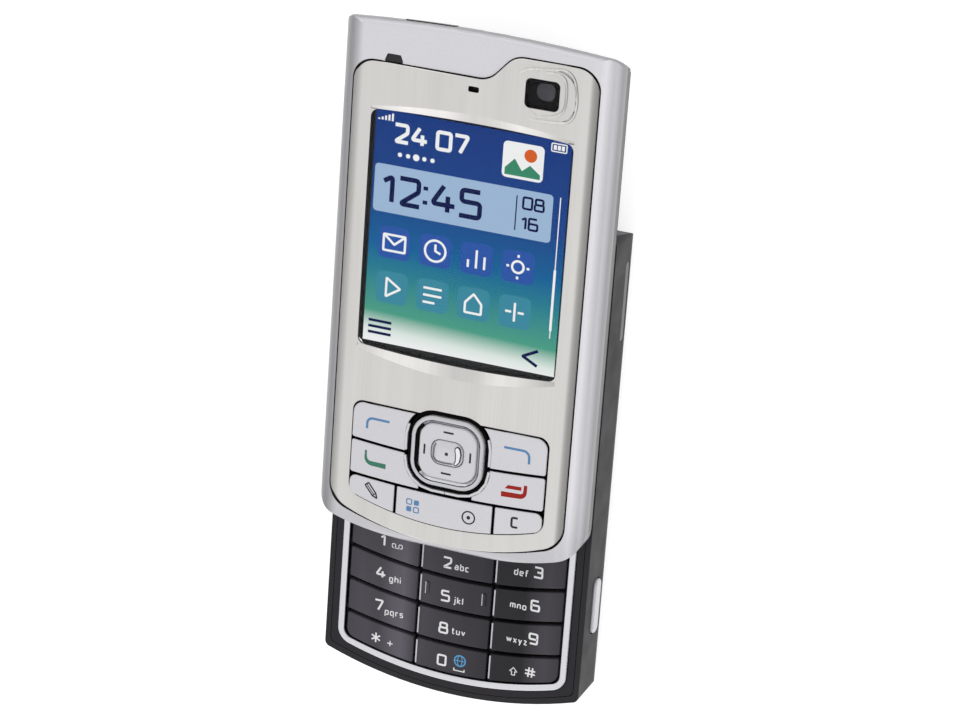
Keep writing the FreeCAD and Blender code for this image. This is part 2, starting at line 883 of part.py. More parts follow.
def flex_cable():
    """Ribbon between the boards, folded back on itself in the space between the halves."""
    w, t = flex_width, flex_sheet
    low, high = z_flex_low, z_flex_high
    middle, outer = V(-w / 2, flex_bend_y, (low + high) / 2), (high - low) / 2
    bend = Part.makeCylinder(outer, w, middle, V(1, 0, 0))
    bend = bend.cut([Part.makeCylinder(outer - t, w, middle, V(1, 0, 0)),
                     prism(span(-w, w, -ALL, flex_bend_y), 0, ALL)])
    return bend.fuse([
        prism(span(-w / 2, w / 2, flex_low_y - t / 2, flex_bend_y), low, low + t),
        prism(span(-w / 2, w / 2, flex_high_y - t / 2, flex_bend_y), high - t, high),
        prism(rectangle(0, flex_low_y, w, t), z_board_top, low + t),
        prism(rectangle(0, flex_high_y, w, t), high - t, z_frame + flex_rise)])


def infrared_window():
    outer = lower_width / 2 - fine_gap
    return prism_x(rectangle(infrared_y, infrared_z, infrared_length, infrared_height,
                             infrared_height / 2 - drop_in), outer - infrared_thickness, outer)


def system_connector():
    low, high = connector_low, connector_low + connector_length
    height = connector_height - 2 * connector_wall
    width = connector_width - 2 * connector_wall
    body = prism_y(rectangle(socket_z, 0, connector_height, connector_width, connector_radius), low, high)
    cavity = prism_y(rectangle(socket_z, 0, height, width, connector_radius / 2),
                     low - PAST, high - 1.5 * connector_wall)
    tongue = prism_y(rectangle(socket_z, 0, connector_tongue, width - 2 * connector_wall),
                     low + connector_wall, high - connector_wall)
    return body.cut(cavity).fuse(tongue)


def charger_socket():
    back = charger_mouth + charger_depth
    body = rod_y(charger_x, socket_z, charger_body, charger_mouth, back + charger_wall)
    return body.cut(rod_y(charger_x, socket_z, charger_radius, charger_mouth - PAST, back))


def rear_camera():
    seat = lever_recess + lens_clear + lens_thickness + 2 * lens_clear + drop_in
    barrel = disc(rear_x, rear_y, barrel_radius, lever_recess + barrel_sunk,
                  floor_height + rear_block_rise + barrel_sunk)
    barrel = barrel.cut([
        disc(rear_x, rear_y, lens_radius + lens_clear, -PAST, seat),
        Part.makeCone(lens_radius / 1.2, pupil_radius, pupil_depth, V(rear_x, rear_y, seat))])
    block = prism(rectangle(rear_x, rear_y, rear_block, rear_block, rear_block_radius),
                  floor_height + rear_block_rise, shelf_height - seam)
    return barrel.fuse(block)


def rear_windows():
    low = lever_recess + lens_clear + drop_in
    lens = disc(rear_x, rear_y, lens_radius, low, low + lens_thickness)
    flash = prism(rectangle(flash_x, rear_y, flash_width, flash_height, flash_radius),
                  flash_sunk, flash_sunk + flash_thickness)
    return Part.makeCompound([lens, flash])


def loudspeaker():
    low = floor_height + fine_gap
    body = prism(rectangle(speaker_x, speaker_y, speaker_width, speaker_length, speaker_radius),
                 low, low + speaker_height)
    well = prism(rectangle(speaker_x, speaker_y, speaker_width - 2 * speaker_rim,
                           speaker_length - 2 * speaker_rim, speaker_radius - speaker_rim),
                 low - PAST, low + speaker_well)
    return body.cut(well)


def screw(x, y, seat, length):
    """Screw standing along Z, its head under the seat."""
    under = seat - screw_head_height
    head = disc(x, y, screw_head_radius, under, seat - fine_gap)
    shank = disc(x, y, screw_radius, seat - 2 * fine_gap, seat + length)
    slot = prism(rectangle(x, y, screw_slot_length, screw_slot_width), under - PAST,
                 under + screw_slot_depth)
    return head.fuse(shank).cut(slot)


def housing_screws():
    return Part.makeCompound([screw(x, y, lower_seat, screw_length) for x, y in lower_screws])


def sim_holder():
    """Tray over the battery, open towards the phone's top end for the card."""
    low, high = battery_low_end + sim_rise, battery_low_end + sim_rise + sim_length
    half = sim_width / 2
    top = bay_top - fine_gap / 2
    tray = prism(span(-half, half, low, high, rear_block_radius), top - sim_height, top)
    return tray.cut(prism(span(-half + sim_wall, half - sim_wall, low + sim_wall, high + PAST),
                          0, top - sim_height + sim_depth))


def card_door():
    half = door_length / 2
    outer, inner = pivot_x - rim_wall / 2, pivot_x + rim_wall / 2
    leaf = prism_y([(pivot_z, outer, 0, 0), (door_high, outer, 0, 0), (door_high, inner, 0, 0),
                    (pivot_z, inner, 0, 0)], card_y - half, card_y + half)
    knuckle = rod_y(pivot_x, pivot_z, rim_wall / 2, card_y - half, card_y + half)
    pins = rod_y(pivot_x, pivot_z, door_pin_radius, card_y - half - door_pin_reach,
                 card_y + half + door_pin_reach)
    nail = prism_x(rectangle(card_y, door_high - nail_height - drop_in, nail_length, nail_height, seam),
                   -ALL, outer + nail_depth)
    return leaf.fuse([knuckle, pins]).cut(nail)


def memory_card():
    x1, y0, y1 = card_x + card_length, card_y - card_width / 2, card_y + card_width / 2
    outline = [(card_x, y0, card_corner, 0), (x1, y0, card_corner, 0), (x1, y1 - card_cut, 0, 0),
               (x1 - card_cut, y1, 0, 0), (card_x, y1, card_corner, 0)]
    return prism(outline, card_low, card_high)


def battery_cover():
    cover = prism(span(-cover_half_width, cover_half_width, cover_low, cover_high, cover_radius),
                  0, cover_thickness)
    grips = [prism(rectangle(0, cover_high - grip_drop + i * grip_pitch, grip_length - i * 2 * grip_width,
                             grip_width, grip_depth), -PAST, grip_depth) for i in range(grip_count)]
    return cover.cut(grips)


def battery():
    half = battery_half_width
    pack = prism(span(-half, half, battery_low_end, battery_high_end, battery_radius),
                 battery_low, battery_top)
    notch = rectangle(0, battery_low_end, battery_notch_width, 2 * battery_notch_length)
    return pack.cut(prism(notch, battery_top - battery_notch_height, ALL))


def cover_latch():
    low = cover_high + seam
    button = prism(rectangle(0, low + latch_length / 2, latch_width, latch_length, latch_radius),
                   fine_gap, latch_thickness)
    first = low + 2 * flex_hole_margin + seam
    ribs = [prism(rectangle(0, first + 0.7 * i, latch_width - 2, grip_width / 2), -PAST, grip_depth)
            for i in range(3)]
    return button.cut(ribs)


def macro_lever():
    low, high = lever_recess, lever_recess + lever_thickness
    ring = disc(rear_x, rear_y, lever_radius, low, high)
    tab = prism(span(rear_x + barrel_radius + running_gap + lever_tab / 2,
                     rear_x + lever_radius + lever_tab, rear_y - lever_tab / 2, rear_y + lever_tab / 2,
                     lever_tab / 3), low, high)
    return ring.fuse(tab).cut(disc(rear_x, rear_y, barrel_radius + running_gap, -PAST, ALL))


def capture_key():
    wall = lower_width / 2 - rim_wall
    cap = prism_x(capture_outline(0), wall - end_room, lower_width / 2 + capture_proud)
    cap = cap.makeFillet(capture_edge, max(cap.Faces, key=lambda f: f.BoundBox.XMin).Edges)
    flange = prism_x(capture_outline(flange_reach), wall - fine_gap - flange_thickness, wall - fine_gap)
    return cap.fuse(flange)


# Upper half, built about its own middle --------------------------------------------------------

def power_outline(grow):
    return rectangle(z_power, power_x, power_height + 2 * grow, power_width + 2 * grow,
                     power_height / 2 - drop_in)


def sensor_outline(grow):
    low = face_left_high + seam
    high = low + sensor_height + grow
    w = sensor_width / 2 + grow
    return [(sensor_x - w, low - grow, slot_radius, 0), (sensor_x + w, low - grow, slot_radius, 0),
            (sensor_x + w - sensor_taper, high, slot_radius, 0),
            (sensor_x - w + sensor_taper, high, slot_radius, 0)]


def past_top_end(grow=0.0):
    """What lies beyond the top end, which leans in towards the back all along its bow."""
    end = half_upper + grow
    inside = prism([(0, z_plate, 0, 0), (end - high_back_lean, z_plate, 0, 0),
                    (end, z_plate + high_back_rise, high_back_round, 0),
                    (end, z_front, high_end_round, 0), (0, z_front, 0, 0)], 0, PAST)
    around = prism(span(end - 2 * high_back_lean, end + high_back_lean, z_plate - PAST, z_front + PAST),
                   0, PAST)
    section = min(around.cut(inside).Faces, key=lambda face: (face.CenterOfMass.z, -face.Area))
    bow_radius = ((upper_width / 2) ** 2 + upper_high_bow ** 2) / (2 * upper_high_bow)
    axis, up, spread = V(0, half_upper - bow_radius, 0), V(0, 0, 1), 10
    section = turned(section, 120)
    section.rotate(axis, up, -spread)
    return section.revolve(axis, up, 2 * spread)


def upper_frame():
    side, end = upper_width / 2, half_upper
    across = prism_y([(z_frame, -side, 0, 0), (z_front, -side, side_round, 0),
                      (z_front, side, side_round, 0), (z_frame, side, 0, 0)], -ALL, ALL)
    along = prism_x([(-end, z_frame, 0, 0), (end, z_frame, 0, 0), (end, z_front, 0, 0),
                     (-end, z_front, low_end_round, 0)], -ALL, ALL)
    body = prism(upper_outline(), z_frame, z_front).common(across).common(along).cut(past_top_end())
    wall = end - frame_wall
    body = body.cut([
        prism(upper_outline(frame_wall), 0, z_under).cut(above(room_high)),
        prism(face_outline(-seam), z_ledge, ALL),
        prism(face_outline(ledge_width), 0, ALL),
        prism(sensor_outline(fine_gap), z_under - PAST, ALL),
        prism_y(power_outline(seam), room_high - seam, end + PAST),
        prism_y(power_outline(flange_reach + seam), wall - flange_thickness - 2 * key_travel, wall)])
    body = body.fuse([disc(x, y, boss_radius, z_frame, z_under) for x, y in upper_screws_at])
    return body.cut([disc(x, y, screw_radius + fine_gap, 0, z_ledge - upper_screw_end + slot_radius)
                     for x, y in upper_screws_at])


def face_key_line(rise, bow=0.0):
    return curved_line(-half_upper + rise, bow, key_half_width)


def key_lines():
    """The curved lines that part the rows of the upper half's keys, from the top one down."""
    return [face_key_line(key_top_rise), face_key_line(key_line_1_rise, key_line_1_bow),
            face_key_line(key_line_2_rise, key_line_2_bow), face_key_line(key_bottom_rise, key_bottom_bow)]


def key_field(grow):
    w = key_half_width + grow
    top, bottom = key_lines()[0], key_lines()[3]
    return bowed(w, bottom[0] - grow, top[0] + grow, bottom[1] * w * w, 0, key_field_radius,
                 key_outer_corner)


def nav_outline(width, height, radius):
    return rectangle(0, nav_y, width, height, radius)


def camera_step():
    """Raised land around the front camera, and the shallow slope inside it."""
    start, right = camera_x - step_land, face_half_width - step_right_inset
    low, high = half_upper - step_low_drop, half_upper - step_high_drop
    land = prism(span(start, right, low, high, step_radius), z_ledge, z_plateau)
    inner = prism(span(start, right - step_width, low + step_low_width, high - step_high_width,
                       step_radius - step_low_width), z_ledge, ALL)
    slope = prism_y([(z_plateau, start, 0, 0), (ALL, start, 0, 0), (ALL, right, 0, 0),
                     (z_plateau - step_slope, right, 0, 0)], -ALL, ALL)
    return land, inner.common(slope)


def window_bevel(edge, width):
    """Slope from the crown down to the window at one end; edge is where it meets the window."""
    reach = 4.0
    rise = z_crown - z_glass
    outward = -1 if edge < 0 else 1
    corners = [(edge, z_glass, 0, 0), (edge + outward * reach * width, z_glass + reach * rise, 0, 0),
               (edge, z_glass + reach * rise, 0, 0)]
    return prism_x(corners[::outward], -window_half_width, window_half_width)


def faceplate():
    blank = softened(crowned(prism(face_outline(), z_ledge, z_crown + PAST)), face_edge)
    land, slope = camera_step()
    low_bevel = window_bevel(window_low + window_low_bow, low_bevel_width + window_low_bow)
    high_bevel = window_bevel(window_high - window_high_bow, high_bevel_width + window_high_bow)
    return blank.fuse(land).cut([
        slope, low_bevel, high_bevel,
        prism(window_outline(), 0, ALL),
        prism(key_field(key_gap / 2), 0, ALL),
        prism(nav_outline(surround_width + 2 * drop_in, surround_height + 2 * drop_in, surround_radius),
              0, ALL),
        prism(rectangle(0, slot_y, slot_width, slot_height, slot_radius), 0, ALL),
        prism(rectangle(camera_window_x, camera_window_y, camera_window_width + 2 * drop_in,
                        camera_window_height + 2 * drop_in, camera_lens_radius / 2), 0, ALL)])


def display_window():
    return prism(window_outline(drop_in), z_glass - window_thickness, z_glass)


def display_module():
    low = z_display - display_thickness
    body = prism(window_outline(-window_border), low, z_display - screen_step)
    screen = prism(window_outline(window_border + drop_in), low + screen_step, z_display)
    return body.fuse(screen)


def light_sensor():
    return prism(sensor_outline(0), z_under + drop_in, z_front - fine_gap)


def earpiece():
    top = z_under - drop_in
    capsule = prism(rectangle(0, slot_y + earpiece_offset, earpiece_width, earpiece_length, speaker_radius),
                    top - earpiece_depth, top)
    spout = prism(rectangle(0, slot_y, slot_width + 2 * seam, slot_height + seam, slot_radius),
                  top - end_room, z_ledge - fine_gap)
    return capsule.fuse(spout)


def front_camera():
    top = z_ledge - fine_gap
    cone_depth = 0.2 * camera_depth
    base = prism(rectangle(camera_x, camera_y, camera_block, camera_block, end_room),
                 z_ledge - camera_depth, z_ledge - 1.25 * cone_depth)
    barrel = disc(camera_x, camera_y, camera_lens_radius + end_room, z_ledge - 1.5 * cone_depth, top)
    return base.fuse(barrel).cut(Part.makeCone(camera_pupil_radius, camera_lens_radius, cone_depth,
                                               V(camera_x, camera_y, z_ledge - cone_depth)))


def front_camera_window():
    return prism(rectangle(camera_window_x, camera_window_y, camera_window_width, camera_window_height,
                           camera_lens_radius / 2 - fine_gap),
                 z_ledge + fine_gap, z_crown - camera_window_sunk)


def nav_surround():
    wall = surround_wall
    ring = prism(nav_outline(surround_width, surround_height, surround_radius), z_mat + fine_gap,
                 z_crown + surround_stand)
    hole = nav_outline(surround_width - 2 * wall, surround_height - 2 * wall, surround_radius - wall)
    return softened(ring.cut(prism(hole, 0, ALL)), surround_edge)


def ring_outline(shrink):
    """Outline of the chrome ring, or of a smaller copy of it."""
    less = surround_wall + ring_gap + shrink
    return nav_outline(surround_width - 2 * less, surround_height - 2 * less, surround_radius - less)


def select_outline(grow=0.0):
    return nav_outline(select_width + 2 * grow, select_height + 2 * grow, select_radius)


def nav_ring():
    ring = prism(ring_outline(0), rocker_seat, z_crown + ring_stand)
    return softened(ring.cut(prism(ring_outline(ring_width), 0, ALL)), ring_edge)


def nav_pad():
    pad = prism(ring_outline(ring_width + fine_gap), rocker_seat, z_crown + pad_stand)
    return softened(pad, pad_edge).cut(prism(select_outline(select_gap), 0, ALL))


def nav_post():
    """Gimbal plate that the rocker tilts on, around the select key."""
    low = key_seat - fine_gap
    plate = prism(ring_outline(ring_width + post_inset), low, low + post_thickness)
    return plate.cut(prism(select_outline(post_gap), 0, ALL))


def select_key():
    return softened(prism(select_outline(), key_seat + drop_in, z_crown + select_stand), select_edge)


def upper_key(x0, x1, low_line, high_line, radii):
    """Key cap that follows the crown and leaves room for the navigation cluster."""
    cap = curved_cap(x0, x1, low_line, high_line, key_seat, z_crown + 2 * PAST, radii)
    keep_off = nav_outline(surround_width + 2 * key_gap, surround_height + 2 * key_gap,
                           surround_radius + key_gap)
    return softened(crowned(cap, key_stand).cut(prism(keep_off, 0, ALL)), key_edge)


def key_row(row, x0, x1, radii):
    """Key between the row's two lines, half a gap from each inner one."""
    high, low = key_lines()[row:row + 2]
    if row > 0:
        high = shifted(high, -key_gap / 2)
    if row < 2:
        low = shifted(low, key_gap / 2)
    return upper_key(x0, x1, low, high, radii)


def mirrored(shape):
    return shape.mirror(V(0, 0, 0), V(1, 0, 0))


def soft_key_left():
    return key_row(0, -key_half_width, -soft_key_inner_x, [key_corner, 0, 0, key_outer_corner])


def soft_key_right():
    return mirrored(soft_key_left())


def call_key():
    return key_row(1, -key_half_width, -key_inner_x, [key_corner, key_inner_corner, 0, key_corner])


def end_key():
    return mirrored(call_key())


def edit_key():
    return key_row(2, -key_half_width, -key_line_x - key_gap / 2,
                   [edit_low_corner, key_inner_corner, key_inner_corner, edit_high_corner])


def clear_key():
    return mirrored(edit_key())


def menu_key():
    half = key_line_x - key_gap / 2
    return key_row(2, -half, half, [key_inner_corner] * 4)


def upper_key_mat():
    """Rubber mat under the upper keys, with a foot under each place that is pressed."""
    mat = prism(upper_outline(upper_mat_inset), z_mat - mat_thickness, z_mat)
    mat = mat.common(prism(span(-boss_side, boss_side, -ALL, key_lines()[0][0] + upper_mat_past_keys),
                           0, ALL))
    outer = (key_line_x + key_half_width) / 2
    places = [(0, nav_y)]
    for row, x in ((0, outer), (1, outer), (2, outer), (2, key_inner_x)):
        high, low = key_lines()[row:row + 2]
        y = (at(high, x) + at(low, x)) / 2
        places += [(-x, y), (x, y)]
    under = z_mat - mat_thickness
    return mat.fuse([disc(x, y, plunger_radius, under - upper_foot_height, under + mat_thickness / 2)
                     for x, y in places])


def upper_board():
    board = prism(upper_outline(upper_mat_inset), z_upper_board, z_upper_board + board_thickness)
    return board.common(prism(span(-boss_side, boss_side, -ALL, window_low - board_to_window), 0, ALL))


def plate_ribs():
    """What stands on the slide plate: ribs under the boards, the display, the earpiece and the
    front camera."""
    root = z_frame - rib_root
    top_line, bottom_line = key_lines()[0][0], key_lines()[3][0]
    ribs = [prism(rectangle(camera_x, camera_y, camera_rib, camera_rib), root,
                  z_ledge - camera_depth - fine_gap)]
    for side in (-1, 1):
        x = side * key_rib_x
        ribs.append(prism(span(x - rib_width / 2, x + rib_width / 2, bottom_line, top_line), root,
                          z_upper_board - fine_gap))
        x = side * display_rib_x
        ribs.append(prism(span(x - rib_width / 2, x + rib_width / 2, window_low + display_rib_inset,
                               window_high - display_rib_inset), root,
                          z_display - display_thickness - fine_gap))
        ribs.append(prism(rectangle(side * earpiece_rib_x, slot_y + earpiece_offset, earpiece_rib_width,
                                    earpiece_rib_length), root,
                          z_under - drop_in - earpiece_depth - fine_gap))
    return ribs


def runners():
    """The two runners under the slide plate: a stem through each rail's mouth and a foot inside."""
    mouth = rail_width / 2 - rail_lip - running_gap
    inner = mouth - runner_stem
    wall = rail_width / 2 - rail_sheet - running_gap
    foot_low = rail_floor + rail_sheet + running_gap
    foot_high = rail_floor + rail_height - rail_sheet - running_gap
    pieces = []
    for side in (-1, 1):
        for outer, top in ((mouth, z_plate + slot_radius), (wall, foot_high)):
            x0, x1 = sorted((side * inner, side * outer))
            pieces.append(prism(span(x0, x1, runner_low, runner_low + runner_length), foot_low, top))
    return pieces


def slide_plate():
    """Dark back of the upper half, with its ribs and the runners that ride in the rails."""
    inset = seam + fine_gap
    body = prism(upper_outline(inset), z_plate, z_frame - fine_gap / 2).cut(past_top_end(-inset))
    pin = disc(spring_x, spring_high - upper_y, pin_radius, z_spring_high - spring_wire,
               z_plate + slot_radius)
    cuts = [flex_hole(flex_high_y - upper_y)]
    for x, y in upper_screws_at:
        cuts.append(disc(x, y, screw_radius + drop_in, 0, ALL))
        cuts.append(disc(x, y, screw_head_radius + drop_in, 0, z_plate + screw_head_height))
    return body.fuse(plate_ribs() + runners() + [pin]).cut(cuts)


def upper_screws():
    seat = z_plate + screw_head_height
    length = z_ledge - upper_screw_end - seat
    return Part.makeCompound([screw(x, y, seat, length) for x, y in upper_screws_at])


def power_key():
    wall = half_upper - frame_wall
    cap = prism_y(power_outline(0), wall - end_room, half_upper + power_proud)
    cap = cap.cut(past_top_end(power_proud))
    flange = prism_y(power_outline(flange_reach), wall - fine_gap - flange_thickness, wall - fine_gap)
    return cap.fuse(flange)


lower_nodes = [rear_housing, keypad_frame, keypad_trim, keypad_mat, main_board, slide_rails, assist_spring,
               flex_cable, infrared_window, system_connector, charger_socket, rear_camera, rear_windows,
               loudspeaker, housing_screws, sim_holder, card_door, memory_card, battery_cover, battery,
               cover_latch, macro_lever, capture_key]
upper_nodes = [upper_frame, faceplate, display_window, display_module, light_sensor, earpiece,
               front_camera, front_camera_window, nav_surround, nav_ring, nav_pad, nav_post, select_key,
               soft_key_left, soft_key_right, call_key, end_key, edit_key, menu_key, clear_key,
               upper_key_mat, upper_board, slide_plate, upper_screws, power_key]
number_names = ["1", "2", "3", "4", "5", "6", "7", "8", "9", "star", "0", "hash"]

os.makedirs("parts", exist_ok=True)
for build in lower_nodes:
    build().exportStep("parts/" + build.__name__ + ".step")
for build in upper_nodes:
    build().translated(V(0, upper_y, 0)).exportStep("parts/" + build.__name__ + ".step")
for i, name in enumerate(number_names):
    number_key(i // 3, i % 3).exportStep("parts/key_" + name + ".step")
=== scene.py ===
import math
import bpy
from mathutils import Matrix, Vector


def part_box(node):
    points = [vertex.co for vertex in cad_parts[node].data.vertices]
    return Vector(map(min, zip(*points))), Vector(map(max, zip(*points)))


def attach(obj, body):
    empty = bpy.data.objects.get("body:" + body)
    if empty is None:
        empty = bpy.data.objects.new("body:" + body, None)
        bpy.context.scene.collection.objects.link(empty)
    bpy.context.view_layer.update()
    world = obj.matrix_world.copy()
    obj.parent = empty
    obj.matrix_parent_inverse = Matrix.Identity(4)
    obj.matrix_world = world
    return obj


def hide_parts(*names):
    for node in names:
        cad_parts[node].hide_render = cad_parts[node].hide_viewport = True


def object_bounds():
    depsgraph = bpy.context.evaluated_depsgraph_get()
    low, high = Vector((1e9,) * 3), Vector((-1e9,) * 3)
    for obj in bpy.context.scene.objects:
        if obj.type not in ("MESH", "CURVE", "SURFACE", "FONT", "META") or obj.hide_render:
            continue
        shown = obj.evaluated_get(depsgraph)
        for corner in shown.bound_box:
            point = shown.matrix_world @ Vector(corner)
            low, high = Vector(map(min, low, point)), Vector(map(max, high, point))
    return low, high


bl_info = {
    "name": "Slider phone finish",
    "version": (1, 0, 0),
    "blender": (4, 5, 0),
    "location": "3D View > Sidebar > Phone",
    "description": "Finishes, printed marks, screen picture and studio for a slider phone",
    "category": "Object",
}

import bmesh
import bpy
from mathutils import Matrix, Vector
from mathutils.bvhtree import BVHTree

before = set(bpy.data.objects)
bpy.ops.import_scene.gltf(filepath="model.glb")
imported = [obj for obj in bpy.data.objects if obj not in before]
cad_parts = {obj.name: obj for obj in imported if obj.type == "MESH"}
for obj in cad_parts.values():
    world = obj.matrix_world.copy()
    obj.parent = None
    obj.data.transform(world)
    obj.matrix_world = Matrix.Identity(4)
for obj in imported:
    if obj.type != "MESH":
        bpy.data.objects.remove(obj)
CAD_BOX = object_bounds()

MM = 0.001

# The look-out: a long lens above the phone's upper right, turned so that the phone leans
CAMERA_PLACE = (206.76, 250.44, 584.45)
CAMERA_AIM = (4.45, 22.49, 22.0)
CAMERA_ROLL = -130.546
CAMERA_LENS = 139.251
CAMERA_SENSOR = 36.0

WHITE = (1.0, 1.0, 1.0, 1.0)
# The stretch of a noise's values that a finish spreads its colours and its roughness over
NOISE_LOW = 0.3
NOISE_HIGH = 0.7


# ---------------------------------------------------------------- colours and shader nodes

def linear(code):
    """Turn a hex sRGB colour into linear red, green and blue."""
    channels = [int(code[i:i + 2], 16) / 255 for i in (1, 3, 5)]
    return tuple(c / 12.92 if c <= 0.04045 else ((c + 0.055) / 1.055) ** 2.4 for c in channels)


def opaque(colour):
    """A colour with full alpha."""
    return (colour[0], colour[1], colour[2], 1.0)


def scaled(colour, by):
    """A colour made darker or brighter, up to white."""
    return [min(1.0, channel * by) for channel in colour]


def add(tree, kind, inputs=None, **settings):
    """Add a node, apply its settings and fill or link its inputs."""
    made = tree.nodes.new(kind)
    for name, value in settings.items():
        setattr(made, name, value)
    for name, value in (inputs or {}).items():
        socket = made.inputs[name]
        if isinstance(value, bpy.types.NodeSocket):
            tree.links.new(value, socket)
        else:
            socket.default_value = value
    return made


def new_finish(name, **sockets):
    """A material with a Principled shader, its plain values set on the shader's own sockets."""
    material = bpy.data.materials.new(name)
    material.use_nodes = True
    tree, shader = shader_of(material)
    for socket, value in sockets.items():
        shader.inputs[socket.replace("_", " ")].default_value = value
    return material, tree, shader


def shader_of(material):
    """A material's node tree and its Principled shader."""
    return material.node_tree, material.node_tree.nodes["Principled BSDF"]


def stretched(tree, size):
    """Object coordinates divided by a pattern's size in millimetres along X, Y and Z."""
    place = add(tree, "ShaderNodeTexCoord")
    scale = tuple(1.0 / (s * MM) for s in size)
    divided = add(tree, "ShaderNodeMapping", {"Vector": place.outputs["Object"], "Scale": scale})
    return divided.outputs["Vector"]


def even(tree, size):
    """The same for a pattern of one size along all three axes."""
    return stretched(tree, (size, size, size))


def split(tree, source):
    """The X, Y and Z of a texture coordinate, each as an output."""
    place = add(tree, "ShaderNodeTexCoord")
    return add(tree, "ShaderNodeSeparateXYZ", {"Vector": place.outputs[source]}).outputs


def set_stops(ramp, stops):
    """Fill a colour ramp with (position, colour) stops."""
    elements = ramp.color_ramp.elements
    while len(elements) < len(stops):
        elements.new(0.5)
    for element, (position, colour) in zip(elements, stops):
        element.position = position
        element.color = opaque(colour)


def grey_stops(stops):
    """Turn (position, level) stops into (position, colour) stops."""
    return [(position, (shade, shade, shade)) for position, shade in stops]


def tinted(tree, shader, colour, vector, share, detail=2.0):
    """Let the colour wander a little, as pigment and flow lines do."""
    noise = add(tree, "ShaderNodeTexNoise", {"Vector": vector, "Scale": 1.0, "Detail": detail})
    ramp = add(tree, "ShaderNodeValToRGB", {"Fac": noise.outputs["Fac"]})
    set_stops(ramp, [(NOISE_LOW, scaled(colour, 1 - share)), (NOISE_HIGH, scaled(colour, 1 + share))])
    tree.links.new(ramp.outputs["Color"], shader.inputs["Base Color"])


def rough_between(tree, shader, vector, low, high, detail=2.0):
    """Let the roughness wander between two values, as handling and polish do."""
    noise = add(tree, "ShaderNodeTexNoise", {"Vector": vector, "Scale": 1.0, "Detail": detail})
    spread = add(tree, "ShaderNodeMapRange", {
        "Value": noise.outputs["Fac"], "From Min": NOISE_LOW, "From Max": NOISE_HIGH, "To Min": low,
        "To Max": high})
    tree.links.new(spread.outputs["Result"], shader.inputs["Roughness"])


def softened_edge(tree, radius):
    """A normal that rolls over edges by a radius in millimetres."""
    return add(tree, "ShaderNodeBevel", {"Radius": radius * MM}, samples=4).outputs["Normal"]


def grained(tree, shader, vector, depth, detail=2.0, normal=None):
    """Raise a noise by a depth in millimetres."""
    noise = add(tree, "ShaderNodeTexNoise", {"Vector": vector, "Scale": 1.0, "Detail": detail})
    inputs = {"Height": noise.outputs["Fac"], "Distance": depth * MM, "Strength": 1.0}
    if normal is not None:
        inputs["Normal"] = normal
    bump = add(tree, "ShaderNodeBump", inputs)
    tree.links.new(bump.outputs["Normal"], shader.inputs["Normal"])


def facing_up(tree, low=0.25, high=0.45):
    """1 on the faces of a piece that look up, 0 on its walls and underside."""
    return along_axis(tree, "Normal", "Z", low, high)


def along_axis(tree, source, axis, start, end, low=0.0, high=1.0):
    """A level that runs from low to high while a coordinate runs from start to end."""
    return add(tree, "ShaderNodeMapRange", {
        "Value": split(tree, source)[axis], "From Min": start, "From Max": end, "To Min": low,
        "To Max": high}).outputs["Result"]


def stepped(tree, value, stops):
    """Read a grey level off a list of (position, level) stops."""
    ramp = add(tree, "ShaderNodeValToRGB", {"Fac": value})
    set_stops(ramp, grey_stops(stops))
    return ramp.outputs["Color"]


def shaded(tree, shader, level_of):
    """Multiply the base colour by a level, which paints light and shade into the finish."""
    paint = shader.inputs["Base Color"].links[0].from_socket
    skin = add(tree, "ShaderNodeMix", {0: 1.0, 6: paint, 7: level_of}, data_type="RGBA",
               blend_type="MULTIPLY")
    tree.links.new(skin.outputs[2], shader.inputs["Base Color"])


def dark_outside(tree, shader, mask, code):
    """Keep the finish where the mask is 1 and put a plain dark colour, with no metal, where it is 0."""
    paint = shader.inputs["Base Color"].links[0].from_socket
    skin = add(tree, "ShaderNodeMix", {0: mask, 6: opaque(linear(code)), 7: paint}, data_type="RGBA")
    tree.links.new(skin.outputs[2], shader.inputs["Base Color"])
    flake = add(tree, "ShaderNodeMath", {0: mask, 1: shader.inputs["Metallic"].default_value},
                operation="MULTIPLY")
    tree.links.new(flake.outputs[0], shader.inputs["Metallic"])


# ---------------------------------------------------------------- settings

def colour_setting(name, code, description):
    return bpy.props.FloatVectorProperty(
        name=name, description=description, subtype="COLOR", size=3, min=0.0, max=1.0, default=linear(code))


def length_setting(name, millimetres, description):
    return bpy.props.FloatProperty(
        name=name, description=description, subtype="DISTANCE", unit="LENGTH", min=0.0,
        default=millimetres * MM, precision=5)


class PhoneFinishes(bpy.types.PropertyGroup):
    """Colours of the phone's own finishes."""
    housing: colour_setting("Housing", "#2C2B2E", "Painted plastic of the lower half")
    front: colour_setting("Keypad frame", "#2B292D", "Satin plastic round the number keys")
    silver: colour_setting("Silver paint", "#D9D8DD", "Metallic paint of the upper half")
    key_silver: colour_setting("Silver keys", "#D3D2D7", "Metallic paint of the upper keys")
    steel: colour_setting("Faceplate", "#D9D7D4", "Brushed steel of the faceplate")
    trim: colour_setting("Trim", "#E4E5E8", "Polished plating of the trim and the ring")
    number_key: colour_setting("Number keys", "#29272C", "Glossy plastic of the number keys")
    legend: colour_setting("Legends", "#E8E8EA", "Print on the number keys")
    soft_mark: colour_setting("Soft key marks", "#5B87B4", "Print on the soft keys")
    call_mark: colour_setting("Call mark", "#3E7A64", "Print on the call key")
    end_mark: colour_setting("End mark", "#9A1C12", "Print on the end key")
    dark_mark: colour_setting("Dark marks", "#2C2B2F", "Print on the other upper keys")


